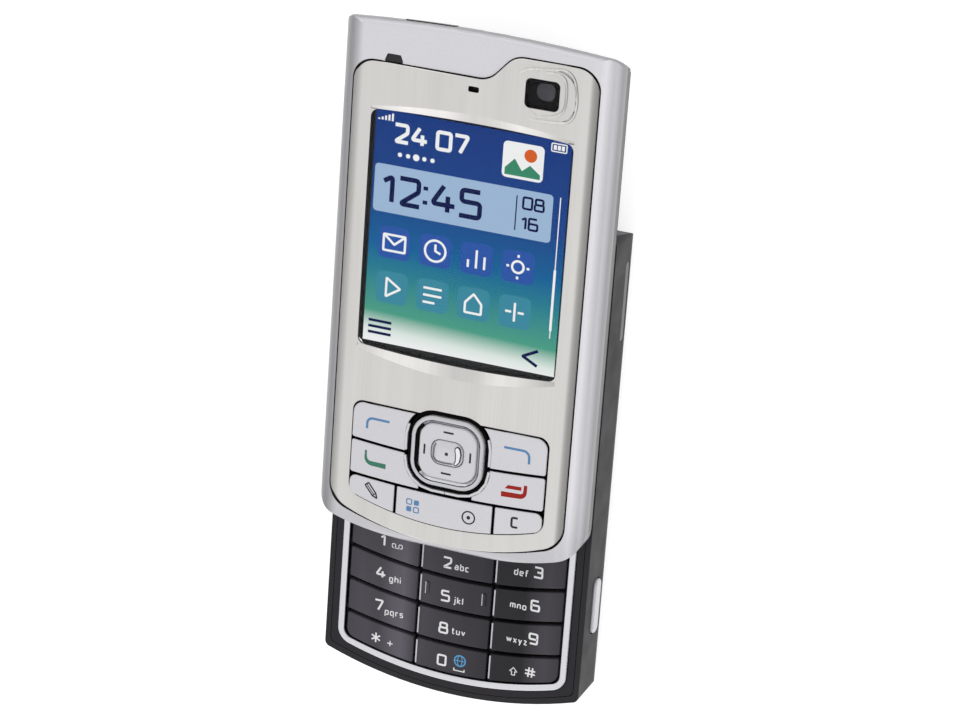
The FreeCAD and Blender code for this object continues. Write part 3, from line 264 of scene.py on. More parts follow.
class PhoneMarks(bpy.types.PropertyGroup):
    """Sizes of the printed marks."""
    digit_height: length_setting("Digit height", 1.9, "Height of the digits on the number keys")
    digit_stroke: length_setting("Digit stroke", 0.37, "Width of a digit's stroke")
    letter_height: length_setting("Letter height", 1.15, "Height of a tall small letter")
    letter_stroke: length_setting("Letter stroke", 0.2, "Width of a small letter's stroke")
    print_height: length_setting("Print thickness", 0.02, "How far the print stands on a key")


class PhoneScreen(bpy.types.PropertyGroup):
    """Colours and light of the screen picture."""
    sky: colour_setting("Top", "#1A3C86", "Colour at the top of the picture")
    sea: colour_setting("Middle", "#1466A0", "Colour in the middle of the picture")
    grass: colour_setting("Low", "#4FA58C", "Colour low in the picture")
    band: colour_setting("Clock band", "#A6C1E0", "Pale band behind the clock")
    ink: colour_setting("Ink", "#101A4E", "Figures and signs on the pale parts")
    glow: bpy.props.FloatProperty(
        name="Glow", description="Brightness of the lit picture", min=0.0, max=2.0, default=0.9)


class PhoneStudio(bpy.types.PropertyGroup):
    """Lamps and background."""
    floor: colour_setting("Floor", "#C8C8C9", "Pale table top")
    sky_light: bpy.props.FloatProperty(
        name="Sky light", description="Level of the light from all round", min=0.0, max=2.0, default=0.84)
    key_watts: bpy.props.FloatProperty(
        name="Key lamp", description="Power of the large soft lamp", unit="POWER", min=0.0, default=1.6)
    fill_watts: bpy.props.FloatProperty(
        name="Fill lamp", description="Power of the small soft lamp", unit="POWER", min=0.0, default=0.5)


# ---------------------------------------------------------------- finishes

# Painted shade on the flake paint: how bright it looks on slopes, from a wall (0) to a flat top (1)
FLAKE_SLOPE_SHADE = [(0.0, 0.42), (0.25, 0.52), (0.55, 0.92), (0.85, 1.12), (0.97, 1.0)]
# Painted shade, darker on the left: how bright, from a left wall (0) over a flat top (0.5) to a right wall
# (1)
FLAKE_SIDE_SHADE = [(0.2, 0.35), (0.38, 0.72), (0.47, 0.95), (0.5, 1.0), (0.75, 1.04), (0.95, 0.9)]
# Painted reflection: light and dark upright bands across the number keys from left to right
LACQUER_SPAN = 21.5
LACQUER_REFLECTION_BANDS = [(0.0, 0.55), (0.08, 0.72), (0.16, 0.66), (0.22, 1.05), (0.27, 1.35), (0.31, 0.8),
                 (0.335, 0.5), (0.36, 0.66), (0.43, 0.52), (0.6, 0.38), (0.66, 0.3), (0.69, 0.16),
                 (0.81, 0.14), (0.84, 0.36), (0.91, 0.62), (1.0, 0.36)]
# Painted shade on the charcoal walls: how bright, from one long side over the front to the other
WALL_SHADE = [(0.0, 0.4), (0.2, 0.85), (0.3, 1.0), (0.7, 1.0), (0.8, 0.85), (1.0, 0.4)]
# The lip below the steel sheet falls away from the light: how bright, from its edge up to y = 0
LIP_LOW = -16.0
LIP_SHADE = [(0.0, 0.66), (0.06, 0.72), (0.16, 0.8), (0.4, 0.84), (0.7, 0.95), (1.0, 1.0)]
# On the long sides the frame turns dark below the rim line: the change takes this far up and down, on faces
# that look this far sideways
RIM_BLEND = 0.03
RIM_SIDES = (0.7, 0.85)
# Painted highlights on the window's curved bevels: how bright, from their left ends to their right ends
BEVEL_SPAN = 17.0
BEVEL_HIGHLIGHT = [(0.0, 1.1), (0.15, 1.35), (0.35, 1.3), (0.5, 0.95), (0.6, 1.0), (0.76, 1.3), (0.9, 1.1),
               (1.0, 0.85)]
# A face of the steel sheet belongs to a bevel when it leans along the phone by this much
BEVEL_LEAN = (0.06, 0.14)
# The long edges of the steel sheet roll down towards the frame, from this far off the middle
ROLL_START = 20.1
ROLL_BEND = 0.17
# The right one turns away from the light: how bright, between these distances off the middle
ROLL_SPAN = (19.8, 22.2)
ROLL_SHADE = [(0.0, 1.0), (0.25, 0.97), (0.5, 0.72), (0.7, 0.55), (1.0, 0.6)]


def spark_textured_plastic(name, colour, grain=0.12, depth=0.006, roughness=0.42, shine=0.5):
    """ABS moulded against a spark-eroded steel: a fine even grain that breaks the shine."""
    material, tree, shader = new_finish(name, Roughness=roughness, IOR=1.5, Specular_IOR_Level=shine)
    tinted(tree, shader, colour, even(tree, 14.0), 0.05)
    grained(tree, shader, even(tree, grain), depth, normal=softened_edge(tree, 0.12))
    rough_between(tree, shader, even(tree, 6.0), roughness - 0.04, roughness + 0.06)
    return material


def walled_plastic(name, colour, grain, roughness):
    """Charcoal moulding with little shine, with painted shade that makes its two long walls darker than its
    front.
    """
    material = spark_textured_plastic(name, colour, grain, 0.004, roughness, 0.14)
    tree, shader = shader_of(material)
    # Painted shade on the two long walls
    shaded(tree, shader, stepped(tree, along_axis(tree, "Normal", "X", -1.0, 1.0), WALL_SHADE))
    return material


def metallic_paint(name, colour, flake=0.09, edge=0.15, metal=0.4):
    """Aluminium-flake paint under clear lacquer: a soft grey shimmer with a crisp top shine."""
    material, tree, shader = new_finish(
        name, Metallic=metal, Roughness=0.34, Coat_Weight=0.3, Coat_Roughness=0.12)
    tinted(tree, shader, colour, even(tree, flake), 0.05, detail=0.0)
    grained(tree, shader, even(tree, 0.5), 0.0012, normal=softened_edge(tree, edge))
    rough_between(tree, shader, even(tree, 9.0), 0.31, 0.38)
    return material


def key_top_paint(name, colour, edge):
    """Black moulded keys painted silver on top only; their black walls also stand for the shade in the gaps
    between keys, so the gaps read black.
    """
    material = metallic_paint(name, colour, flake=0.12, edge=edge, metal=0.5)
    tree, shader = shader_of(material)
    # Black walls: the bare moulding, and painted shade in the gaps between keys
    dark_outside(tree, shader, facing_up(tree), "#09090A")
    return material


def flake_paint_with_painted_shade(name, colour, rim):
    """The same flake paint with painted shade: darker on slopes and walls, darker on the left, and darker on
    the lip below the steel sheet; on the long sides it turns dark below a line near the back."""
    material = metallic_paint(name, colour, metal=0.15)
    tree, shader = shader_of(material)
    # Painted shade: darker on slopes and walls, darker on the left, and darker on the lip
    shaded(tree, shader, stepped(tree, along_axis(tree, "Normal", "Z", 0.0, 1.0), FLAKE_SLOPE_SHADE))
    shaded(tree, shader, stepped(tree, along_axis(tree, "Normal", "X", -1.0, 1.0), FLAKE_SIDE_SHADE))
    shaded(tree, shader, stepped(tree, along_axis(tree, "Object", "Y", LIP_LOW * MM, 0.0), LIP_SHADE))
    low = along_axis(tree, "Object", "Z", (rim + RIM_BLEND) * MM, (rim - RIM_BLEND) * MM)
    side = add(tree, "ShaderNodeMath", {0: split(tree, "Normal")["X"]}, operation="ABSOLUTE")
    side = add(tree, "ShaderNodeMapRange", {
        "Value": side.outputs[0], "From Min": RIM_SIDES[0], "From Max": RIM_SIDES[1]})
    dark_rim = add(tree, "ShaderNodeMath", {0: low, 1: side.outputs["Result"]}, operation="MULTIPLY")
    painted = add(tree, "ShaderNodeMath", {0: 1.0, 1: dark_rim.outputs[0]}, operation="SUBTRACT")
    # Dark below the rim line on the long sides
    dark_outside(tree, shader, painted.outputs[0], "#3C3B3F")
    return material


def brushed_steel_sheet(name, colour):
    """Stainless steel brushed along the phone: fine lines along Y, pale and dark bands between."""
    material, tree, shader = new_finish(name, Metallic=0.85, Anisotropic=0.5)
    lines = add(tree, "ShaderNodeTexNoise",
                {"Vector": stretched(tree, (0.16, 22.0, 6.0)), "Scale": 1.0, "Detail": 4.0})
    bands = add(tree, "ShaderNodeTexNoise",
                {"Vector": stretched(tree, (3.4, 60.0, 30.0)), "Scale": 1.0, "Detail": 3.0})
    joined = add(tree, "ShaderNodeMix", {0: 0.55, 2: lines.outputs["Fac"], 3: bands.outputs["Fac"]},
                 data_type="FLOAT")
    ramp = add(tree, "ShaderNodeValToRGB", {"Fac": joined.outputs[0]})
    set_stops(ramp, [(NOISE_LOW, scaled(colour, 0.92)), (NOISE_HIGH, scaled(colour, 1.05))])
    tree.links.new(ramp.outputs["Color"], shader.inputs["Base Color"])
    spread = add(tree, "ShaderNodeMapRange", {
        "Value": lines.outputs["Fac"], "From Min": NOISE_LOW, "From Max": NOISE_HIGH, "To Min": 0.3,
        "To Max": 0.4})
    tree.links.new(spread.outputs["Result"], shader.inputs["Roughness"])
    brushed = add(tree, "ShaderNodeBump", {"Height": lines.outputs["Fac"], "Distance": 0.001 * MM,
                                           "Strength": 1.0, "Normal": softened_edge(tree, 0.1)})
    across = add(tree, "ShaderNodeMath", {0: split(tree, "Object")["X"]}, operation="ABSOLUTE")
    past = add(tree, "ShaderNodeMath", {0: across.outputs[0], 1: ROLL_START * MM}, operation="SUBTRACT")
    past = add(tree, "ShaderNodeMath", {0: past.outputs[0], 1: 0.0}, operation="MAXIMUM")
    square = add(tree, "ShaderNodeMath", {0: past.outputs[0], 1: 2.0}, operation="POWER")
    drop = add(tree, "ShaderNodeMath", {0: square.outputs[0], 1: -ROLL_BEND / MM}, operation="MULTIPLY")
    rolled = add(tree, "ShaderNodeBump", {"Height": drop.outputs[0], "Distance": 1.0, "Strength": 1.0,
                                          "Normal": brushed.outputs["Normal"]})
    tree.links.new(rolled.outputs["Normal"], shader.inputs["Normal"])
    # Painted highlights on the faces of the window's bevels
    lean = add(tree, "ShaderNodeMath", {0: split(tree, "Normal")["Y"]}, operation="ABSOLUTE")
    bevel = add(tree, "ShaderNodeMapRange", {
        "Value": lean.outputs[0], "From Min": BEVEL_LEAN[0], "From Max": BEVEL_LEAN[1]})
    painted_bevel_glint = stepped(tree, along_axis(tree, "Object", "X", -BEVEL_SPAN * MM, BEVEL_SPAN * MM), BEVEL_HIGHLIGHT)
    shine = add(tree, "ShaderNodeMix", {0: bevel.outputs["Result"], 6: WHITE, 7: painted_bevel_glint},
                data_type="RGBA")
    shaded(tree, shader, shine.outputs[2])
    edge = along_axis(tree, "Object", "X", ROLL_SPAN[0] * MM, ROLL_SPAN[1] * MM)
    shaded(tree, shader, stepped(tree, edge, ROLL_SHADE))
    along = add(tree, "ShaderNodeCombineXYZ", {"Y": 1.0})
    tree.links.new(along.outputs["Vector"], shader.inputs["Tangent"])
    # Painted shade: the sheet's walls and cut edges are near black, so the gaps round it read dark
    dark_outside(tree, shader, facing_up(tree), "#1A1A1B")
    return material


def polished_plating(name, colour):
    """Chrome plating on moulded plastic: a bright mirror, very slightly wavy."""
    material, tree, shader = new_finish(name, Metallic=1.0, Roughness=0.12)
    tinted(tree, shader, colour, even(tree, 5.0), 0.02)
    grained(tree, shader, even(tree, 2.5), 0.004, normal=softened_edge(tree, 0.2))
    rough_between(tree, shader, even(tree, 1.2), 0.08, 0.16)
    return material


def satin_topped_plating(name, colour, satin):
    """Chrome plating whose flat top is blasted to a grey satin, so the bevels shine as two lines."""
    material, tree, shader = new_finish(name, Metallic=1.0, Roughness=0.2)
    top = facing_up(tree, 0.9, 0.985)
    skin = add(tree, "ShaderNodeMix", {0: top, 6: opaque(colour), 7: opaque(satin)}, data_type="RGBA")
    noise = add(tree, "ShaderNodeTexNoise", {"Vector": even(tree, 0.3), "Scale": 1.0})
    shade = add(tree, "ShaderNodeMapRange", {"Value": noise.outputs["Fac"], "To Min": 0.92, "To Max": 1.06})
    worn = add(tree, "ShaderNodeMix", {0: 1.0, 6: skin.outputs[2], 7: shade.outputs["Result"]},
               data_type="RGBA", blend_type="MULTIPLY")
    tree.links.new(worn.outputs[2], shader.inputs["Base Color"])
    rough = add(tree, "ShaderNodeMapRange", {"Value": top, "To Min": 0.12, "To Max": 0.38})
    tree.links.new(rough.outputs["Result"], shader.inputs["Roughness"])
    grained(tree, shader, even(tree, 0.25), 0.002)
    return material


def lacquered_key_plastic(name, colour):
    """Polycarbonate key caps under a smoked lacquer: dark and glossy; the lacquer is thinner in places and
    lies in long waves; the soft upright light and dark bands across the keys are painted reflection."""
    material, tree, shader = new_finish(
        name, Roughness=0.3, IOR=1.5, Specular_IOR_Level=0.2, Coat_Weight=0.1, Coat_Roughness=0.08)
    tinted(tree, shader, scaled(colour, 4), stretched(tree, (2.6, 18.0, 8.0)), 0.06)
    # Painted reflection: upright light and dark bands across the keys
    edge = LACQUER_SPAN * MM
    shaded(tree, shader, stepped(tree, along_axis(tree, "Object", "X", -edge, edge), LACQUER_REFLECTION_BANDS))
    waves = stretched(tree, (5.5, 70.0, 30.0))
    grained(tree, shader, waves, 0.16, detail=0.0, normal=softened_edge(tree, 0.3))
    rough_between(tree, shader, even(tree, 4.0), 0.2, 0.3)
    return material


def silicone_rubber(name, colour, shine=0.5):
    """Moulded silicone: dark, dry and slightly uneven."""
    material, tree, shader = new_finish(name, Roughness=0.7, IOR=1.41, Specular_IOR_Level=shine)
    tinted(tree, shader, colour, even(tree, 2.0), 0.15)
    grained(tree, shader, even(tree, 0.2), 0.004)
    return material


def gloss_black_plastic(name, colour, shine=0.5):
    """Polished black acrylic or polycarbonate: dark with a clean shine."""
    material, tree, shader = new_finish(name, Roughness=0.08, IOR=1.49, Specular_IOR_Level=shine)
    tinted(tree, shader, colour, even(tree, 3.0), 0.1)
    grained(tree, shader, even(tree, 4.0), 0.002, normal=softened_edge(tree, 0.1))
    rough_between(tree, shader, even(tree, 2.0), 0.05, 0.12)
    return material


def cast_clear_acrylic(name, tint, roughness=0.02):
    """Clear acrylic with a coat that cuts glare: see-through; the low index stands for that coat."""
    material, tree, shader = new_finish(name, IOR=1.16, Transmission_Weight=1.0)
    tinted(tree, shader, tint, even(tree, 20.0), 0.01)
    rough_between(tree, shader, even(tree, 6.0), roughness * 0.5, roughness * 1.5)
    return material


def solder_masked_board(name, colour):
    """Glass-fibre board under green solder mask: the weave and the copper show faintly."""
    material, tree, shader = new_finish(name, Roughness=0.35, IOR=1.55, Coat_Weight=0.4)
    tracks = add(tree, "ShaderNodeTexBrick", {
        "Vector": even(tree, 1.0), "Scale": 1.4, "Mortar Size": 0.08,
        "Color1": opaque(colour), "Color2": opaque(scaled(colour, 0.9)),
        "Mortar": opaque(scaled(colour, 1.5))}, offset=0.3)
    tree.links.new(tracks.outputs["Color"], shader.inputs["Base Color"])
    grained(tree, shader, even(tree, 0.4), 0.01)
    return material


def rolled_metal(name, colour, roughness, line=(0.2, 6.0, 1.0)):
    """Cold-rolled or machined metal: thin tool lines on a grey shine."""
    material, tree, shader = new_finish(name, Metallic=1.0, Roughness=roughness)
    tinted(tree, shader, colour, stretched(tree, line), 0.08)
    grained(tree, shader, stretched(tree, line), 0.003)
    rough_between(tree, shader, even(tree, 3.0), roughness - 0.05, roughness + 0.08)
    return material


def polyimide_film(name, colour):
    """Flexible circuit: amber film with copper lines under it."""
    material, tree, shader = new_finish(name, Roughness=0.3, IOR=1.7)
    lines = add(tree, "ShaderNodeTexWave", {
        "Vector": even(tree, 1.0), "Scale": 0.5, "Distortion": 0.0})
    ramp = add(tree, "ShaderNodeValToRGB", {"Fac": lines.outputs["Fac"]})
    ramp.color_ramp.interpolation = "CONSTANT"
    set_stops(ramp, [(0.0, colour), (0.5, scaled(colour, 0.6))])
    tree.links.new(ramp.outputs["Color"], shader.inputs["Base Color"])
    grained(tree, shader, even(tree, 0.8), 0.004)
    return material


def pad_printed_ink(name, colour, roughness=0.45):
    """Pad-printed two-part ink: flat colour, thinner in places."""
    material, tree, shader = new_finish(name, Roughness=roughness, IOR=1.5, Specular_IOR_Level=0.2)
    tinted(tree, shader, colour, even(tree, 0.3), 0.05)
    grained(tree, shader, even(tree, 0.15), 0.002)
    return material


def lit_pixels(name, colour, glow):
    """Backlit liquid crystal: the picture glows evenly behind the glass."""
    material, tree, shader = new_finish(
        name, Base_Color=opaque(scaled(colour, 0.02)), Roughness=0.6, Specular_IOR_Level=0.0,
        Emission_Strength=glow)
    noise = add(tree, "ShaderNodeTexNoise", {"Vector": even(tree, 0.35), "Scale": 1.0})
    ramp = add(tree, "ShaderNodeValToRGB", {"Fac": noise.outputs["Fac"]})
    set_stops(ramp, [(0.0, scaled(colour, 0.97)), (1.0, scaled(colour, 1.03))])
    tree.links.new(ramp.outputs["Color"], shader.inputs["Emission Color"])
    return material


# ---------------------------------------------------------------- flat marks

BEND_STEPS = 4
CORNER_STEPS = 12
BEAD_STEPS = 8
# How far the underside of a mark lies inside the piece that it is on
SINK = 0.02
# How far out the search for an outline starts and how fine it ends, and the step of a scan along an edge
SEARCH_START = 60.0
SEARCH_END = 0.004
SCAN_STEP = 0.05


def straight(*points):
    """A path straight from point to point."""
    return [Vector(point) for point in points]


def rounded_path(points, radius, closed=False):
    """Round the inner corners of a path with short arcs."""
    count = len(points)
    path = []
    for i in range(count):
        here = Vector(points[i])
        if not closed and i in (0, count - 1):
            path.append(here)
            continue
        before = Vector(points[i - 1])
        after = Vector(points[(i + 1) % count])
        into = (before - here).normalized()
        out = (after - here).normalized()
        half = into.angle(out) / 2
        if radius <= 0 or half > math.radians(89):
            path.append(here)
            continue
        room = 0.49 * min((before - here).length, (after - here).length)
        cut = min(radius, radius / math.tan(half), room)
        bend = cut * math.tan(half)
        centre = here + (into + out).normalized() * (bend / math.sin(half))
        start = here + into * cut - centre
        end = here + out * cut - centre
        sweep = math.copysign(math.pi - 2 * half, start.x * end.y - start.y * end.x)
        for step in range(BEND_STEPS + 1):
            path.append(centre + Matrix.Rotation(sweep * step / BEND_STEPS, 2) @ start)
    return path


def tapered(path, start, end):
    """Widths that run evenly from the start of a path to its end."""
    last = len(path) - 1
    return [start + (end - start) * i / last for i in range(last + 1)]


def circle_path(centre, radius, steps=24, squeeze=1.0):
    """A circle round a centre, or an upright oval where it is squeezed."""
    turn = 2 * math.pi / steps
    return [Vector((centre[0] + radius * squeeze * math.cos(turn * i),
                    centre[1] + radius * math.sin(turn * i))) for i in range(steps)]


def box_path(low_x, low_y, high_x, high_y, radius=0.0):
    """A box between two corners, rounded where a radius is given."""
    corners = [(low_x, low_y), (high_x, low_y), (high_x, high_y), (low_x, high_y)]
    return rounded_path(corners, radius, closed=True) if radius else straight(*corners)


def bridge(mesh, one, two):
    """Join two rings of vertices with a band of faces."""
    count = len(one)
    for i in range(count):
        j = (i + 1) % count
        mesh.faces.new((one[i], one[j], two[j], two[i]))


def add_ribbon(mesh, path, widths, low, high, closed=False):
    """A flat stroke along a path, from height low(x, y) to high(x, y), all in millimetres."""
    count = len(path)
    if not isinstance(widths, (list, tuple)):
        widths = [widths] * count
    sections = []
    for i in range(count):
        before = path[i - 1] if closed or i else None
        after = path[(i + 1) % count] if closed or i < count - 1 else None
        ways = []
        if before is not None:
            ways.append((path[i] - before).normalized())
        if after is not None:
            ways.append((after - path[i]).normalized())
        way = sum(ways, Vector((0, 0))).normalized()
        lean = max(0.4, way.dot(ways[0]))
        side = Vector((-way.y, way.x)) * (widths[i] / 2 / lean)
        left, right = path[i] + side, path[i] - side
        sections.append([mesh.verts.new(Vector((p.x, p.y, level(p.x, p.y))) * MM)
                         for p, level in ((left, high), (right, high), (right, low), (left, low))])
    pairs = list(zip(sections, sections[1:]))
    if closed:
        pairs.append((sections[-1], sections[0]))
    for one, two in pairs:
        bridge(mesh, one, two)
    if not closed:
        mesh.faces.new(sections[0][::-1])
        mesh.faces.new(sections[-1])


def add_patch(mesh, outline, low, high):
    """A flat filled shape, from height low(x, y) to high(x, y), all in millimetres."""
    top = [mesh.verts.new(Vector((p.x, p.y, high(p.x, p.y))) * MM) for p in outline]
    base = [mesh.verts.new(Vector((p.x, p.y, low(p.x, p.y))) * MM) for p in outline]
    mesh.faces.new(top)
    mesh.faces.new(base[::-1])
    count = len(outline)
    for i in range(count):
        j = (i + 1) % count
        mesh.faces.new((top[i], base[i], base[j], top[j]))


def add_frame(mesh, half_x, half_y, corner, middle_y, profile, shut=True):
    """A closed rounded frame; the profile lists (distance inwards, height) in millimetres."""
    rings = []
    for inwards, height in profile:
        path = []
        bend = corner - inwards
        for quarter, (side_x, side_y) in enumerate(((1, 1), (-1, 1), (-1, -1), (1, -1))):
            centre = (side_x * (half_x - corner), middle_y + side_y * (half_y - corner))
            for step in range(CORNER_STEPS + 1):
                turn = math.pi / 2 * (quarter + step / CORNER_STEPS)
                path.append((centre[0] + bend * math.cos(turn), centre[1] + bend * math.sin(turn)))
        rings.append([mesh.verts.new(Vector((x, y, height)) * MM) for x, y in path])
    for one, two in zip(rings, rings[1:] + (rings[:1] if shut else [])):
        bridge(mesh, one, two)
    return rings


def add_bead(mesh, path, width, height, surface):
    """A half-round ridge along a path on a surface, in millimetres; it fades out at both ends."""
    sections = []
    count = len(path)
    for i, spot in enumerate(path):
        way = (path[min(i + 1, count - 1)] - path[max(i - 1, 0)]).normalized()
        side = Vector((-way.y, way.x)) * width / 2
        fade = math.sin(math.pi * min(1.0, 4 * min(i, count - 1 - i) / count) / 2)
        ring = []
        for step in range(BEAD_STEPS + 1):
            turn = math.pi * step / BEAD_STEPS
            place = spot + side * math.cos(turn)
            rise = height * fade * math.sin(turn) - SINK
            ring.append(mesh.verts.new(Vector((place.x, place.y, surface(place.x, place.y) + rise)) * MM))
        sections.append(ring)
    for one, two in zip(sections, sections[1:]):
        bridge(mesh, one, two)
    mesh.faces.new(sections[0][::-1])
    mesh.faces.new(sections[-1])


def add_dome(mesh, centre, radius, low, high, rings=8, steps=40):
    """A lens: a flat base at one height and a cap that swells to another, in millimetres."""
    last = [mesh.verts.new(Vector((p.x, p.y, low)) * MM) for p in circle_path(centre, radius, steps)]
    mesh.faces.new(last)
    for ring in range(1, rings):
        lean = math.pi / 2 * ring / rings
        height = low + (high - low) * math.sin(lean)
        here = [mesh.verts.new(Vector((p.x, p.y, height)) * MM)
                for p in circle_path(centre, radius * math.cos(lean), steps)]
        bridge(mesh, last, here)
        last = here
    top = mesh.verts.new(Vector((*centre, high)) * MM)
    for i in range(steps):
        mesh.faces.new((last[i], last[(i + 1) % steps], top))


def struck(node, from_above=True):
    """Where an upright ray at x, y first meets a piece: a height in millimetres, or None."""
    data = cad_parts[node].data
    corners = [v.co.copy() for v in data.vertices]
    tree = BVHTree.FromPolygons(corners, [tuple(p.vertices) for p in data.polygons])
    low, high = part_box(node)
    start = high.z + MM if from_above else low.z - MM
    way = Vector((0, 0, -1 if from_above else 1))

    def height(x, y):
        hit = tree.ray_cast(Vector((x * MM, y * MM, start)), way)[0]
        return None if hit is None else hit.z / MM
    return height


def surface_of(node, from_above=True):
    """The height of a piece's surface at x, y, in millimetres; beside the piece, its top or bottom."""
    met = struck(node, from_above)
    low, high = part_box(node)
    beside = (high.z if from_above else low.z) / MM

    def height(x, y):
        here = met(x, y)
        return beside if here is None else here
    return height


def outline_of(node, centre, steps):
    """The outer edge of a piece in plan, found along rays that come in towards a point."""
    height = struck(node)
    path = []
    for i in range(steps):
        turn = 2 * math.pi * i / steps
        way = Vector((math.cos(turn), math.sin(turn)))
        out, step = SEARCH_START, 1.0
        while step > SEARCH_END:
            spot = Vector(centre) + way * out
            if height(spot.x, spot.y) is None:
                out -= step
            else:
                out += step
                step /= 4
                out -= step
        path.append(Vector(centre) + way * out)
    return path


def edge_span(node, x):
    """The stretch of y over which a piece is met at some x, in millimetres."""
    height = struck(node)
    low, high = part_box(node)
    steps = int((high.y - low.y) / MM / SCAN_STEP)
    scan = [low.y / MM + SCAN_STEP * i for i in range(steps + 1)]
    met = [y for y in scan if height(x, y) is not None]
    return met[0], met[-1]


def box_of(node):
    """The low and the high corner of a piece's box, in millimetres."""
    low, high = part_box(node)
    return low / MM, high / MM


def middle_of(node):
    """The middle of a piece's box, in millimetres."""
    low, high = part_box(node)
    return (low + high) / 2 / MM


def level(height):
    """A flat surface at one height in millimetres."""
    return lambda x, y: height


def lifted(surface, by):
    """A surface moved up by some millimetres."""
    return lambda x, y: surface(x, y) + by


def placed(name, mesh, body, material, smooth=False):
    """Turn a finished mesh into a named object that rides on a body."""
    bmesh.ops.recalc_face_normals(mesh, faces=mesh.faces)
    for face in mesh.faces:
        face.smooth = smooth
    data = bpy.data.meshes.new(name)
    mesh.to_mesh(data)
    mesh.free()
    made = bpy.data.objects.new(name, data)
    bpy.context.scene.collection.objects.link(made)
    data.materials.append(material)
    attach(made, body)
    return made


def dress(material, *nodes):
    """Give some of the frame's pieces a finish."""
    for node in nodes:
        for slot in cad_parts[node].material_slots:
            slot.material = material


# ---------------------------------------------------------------- letters, drawn on a grid one high

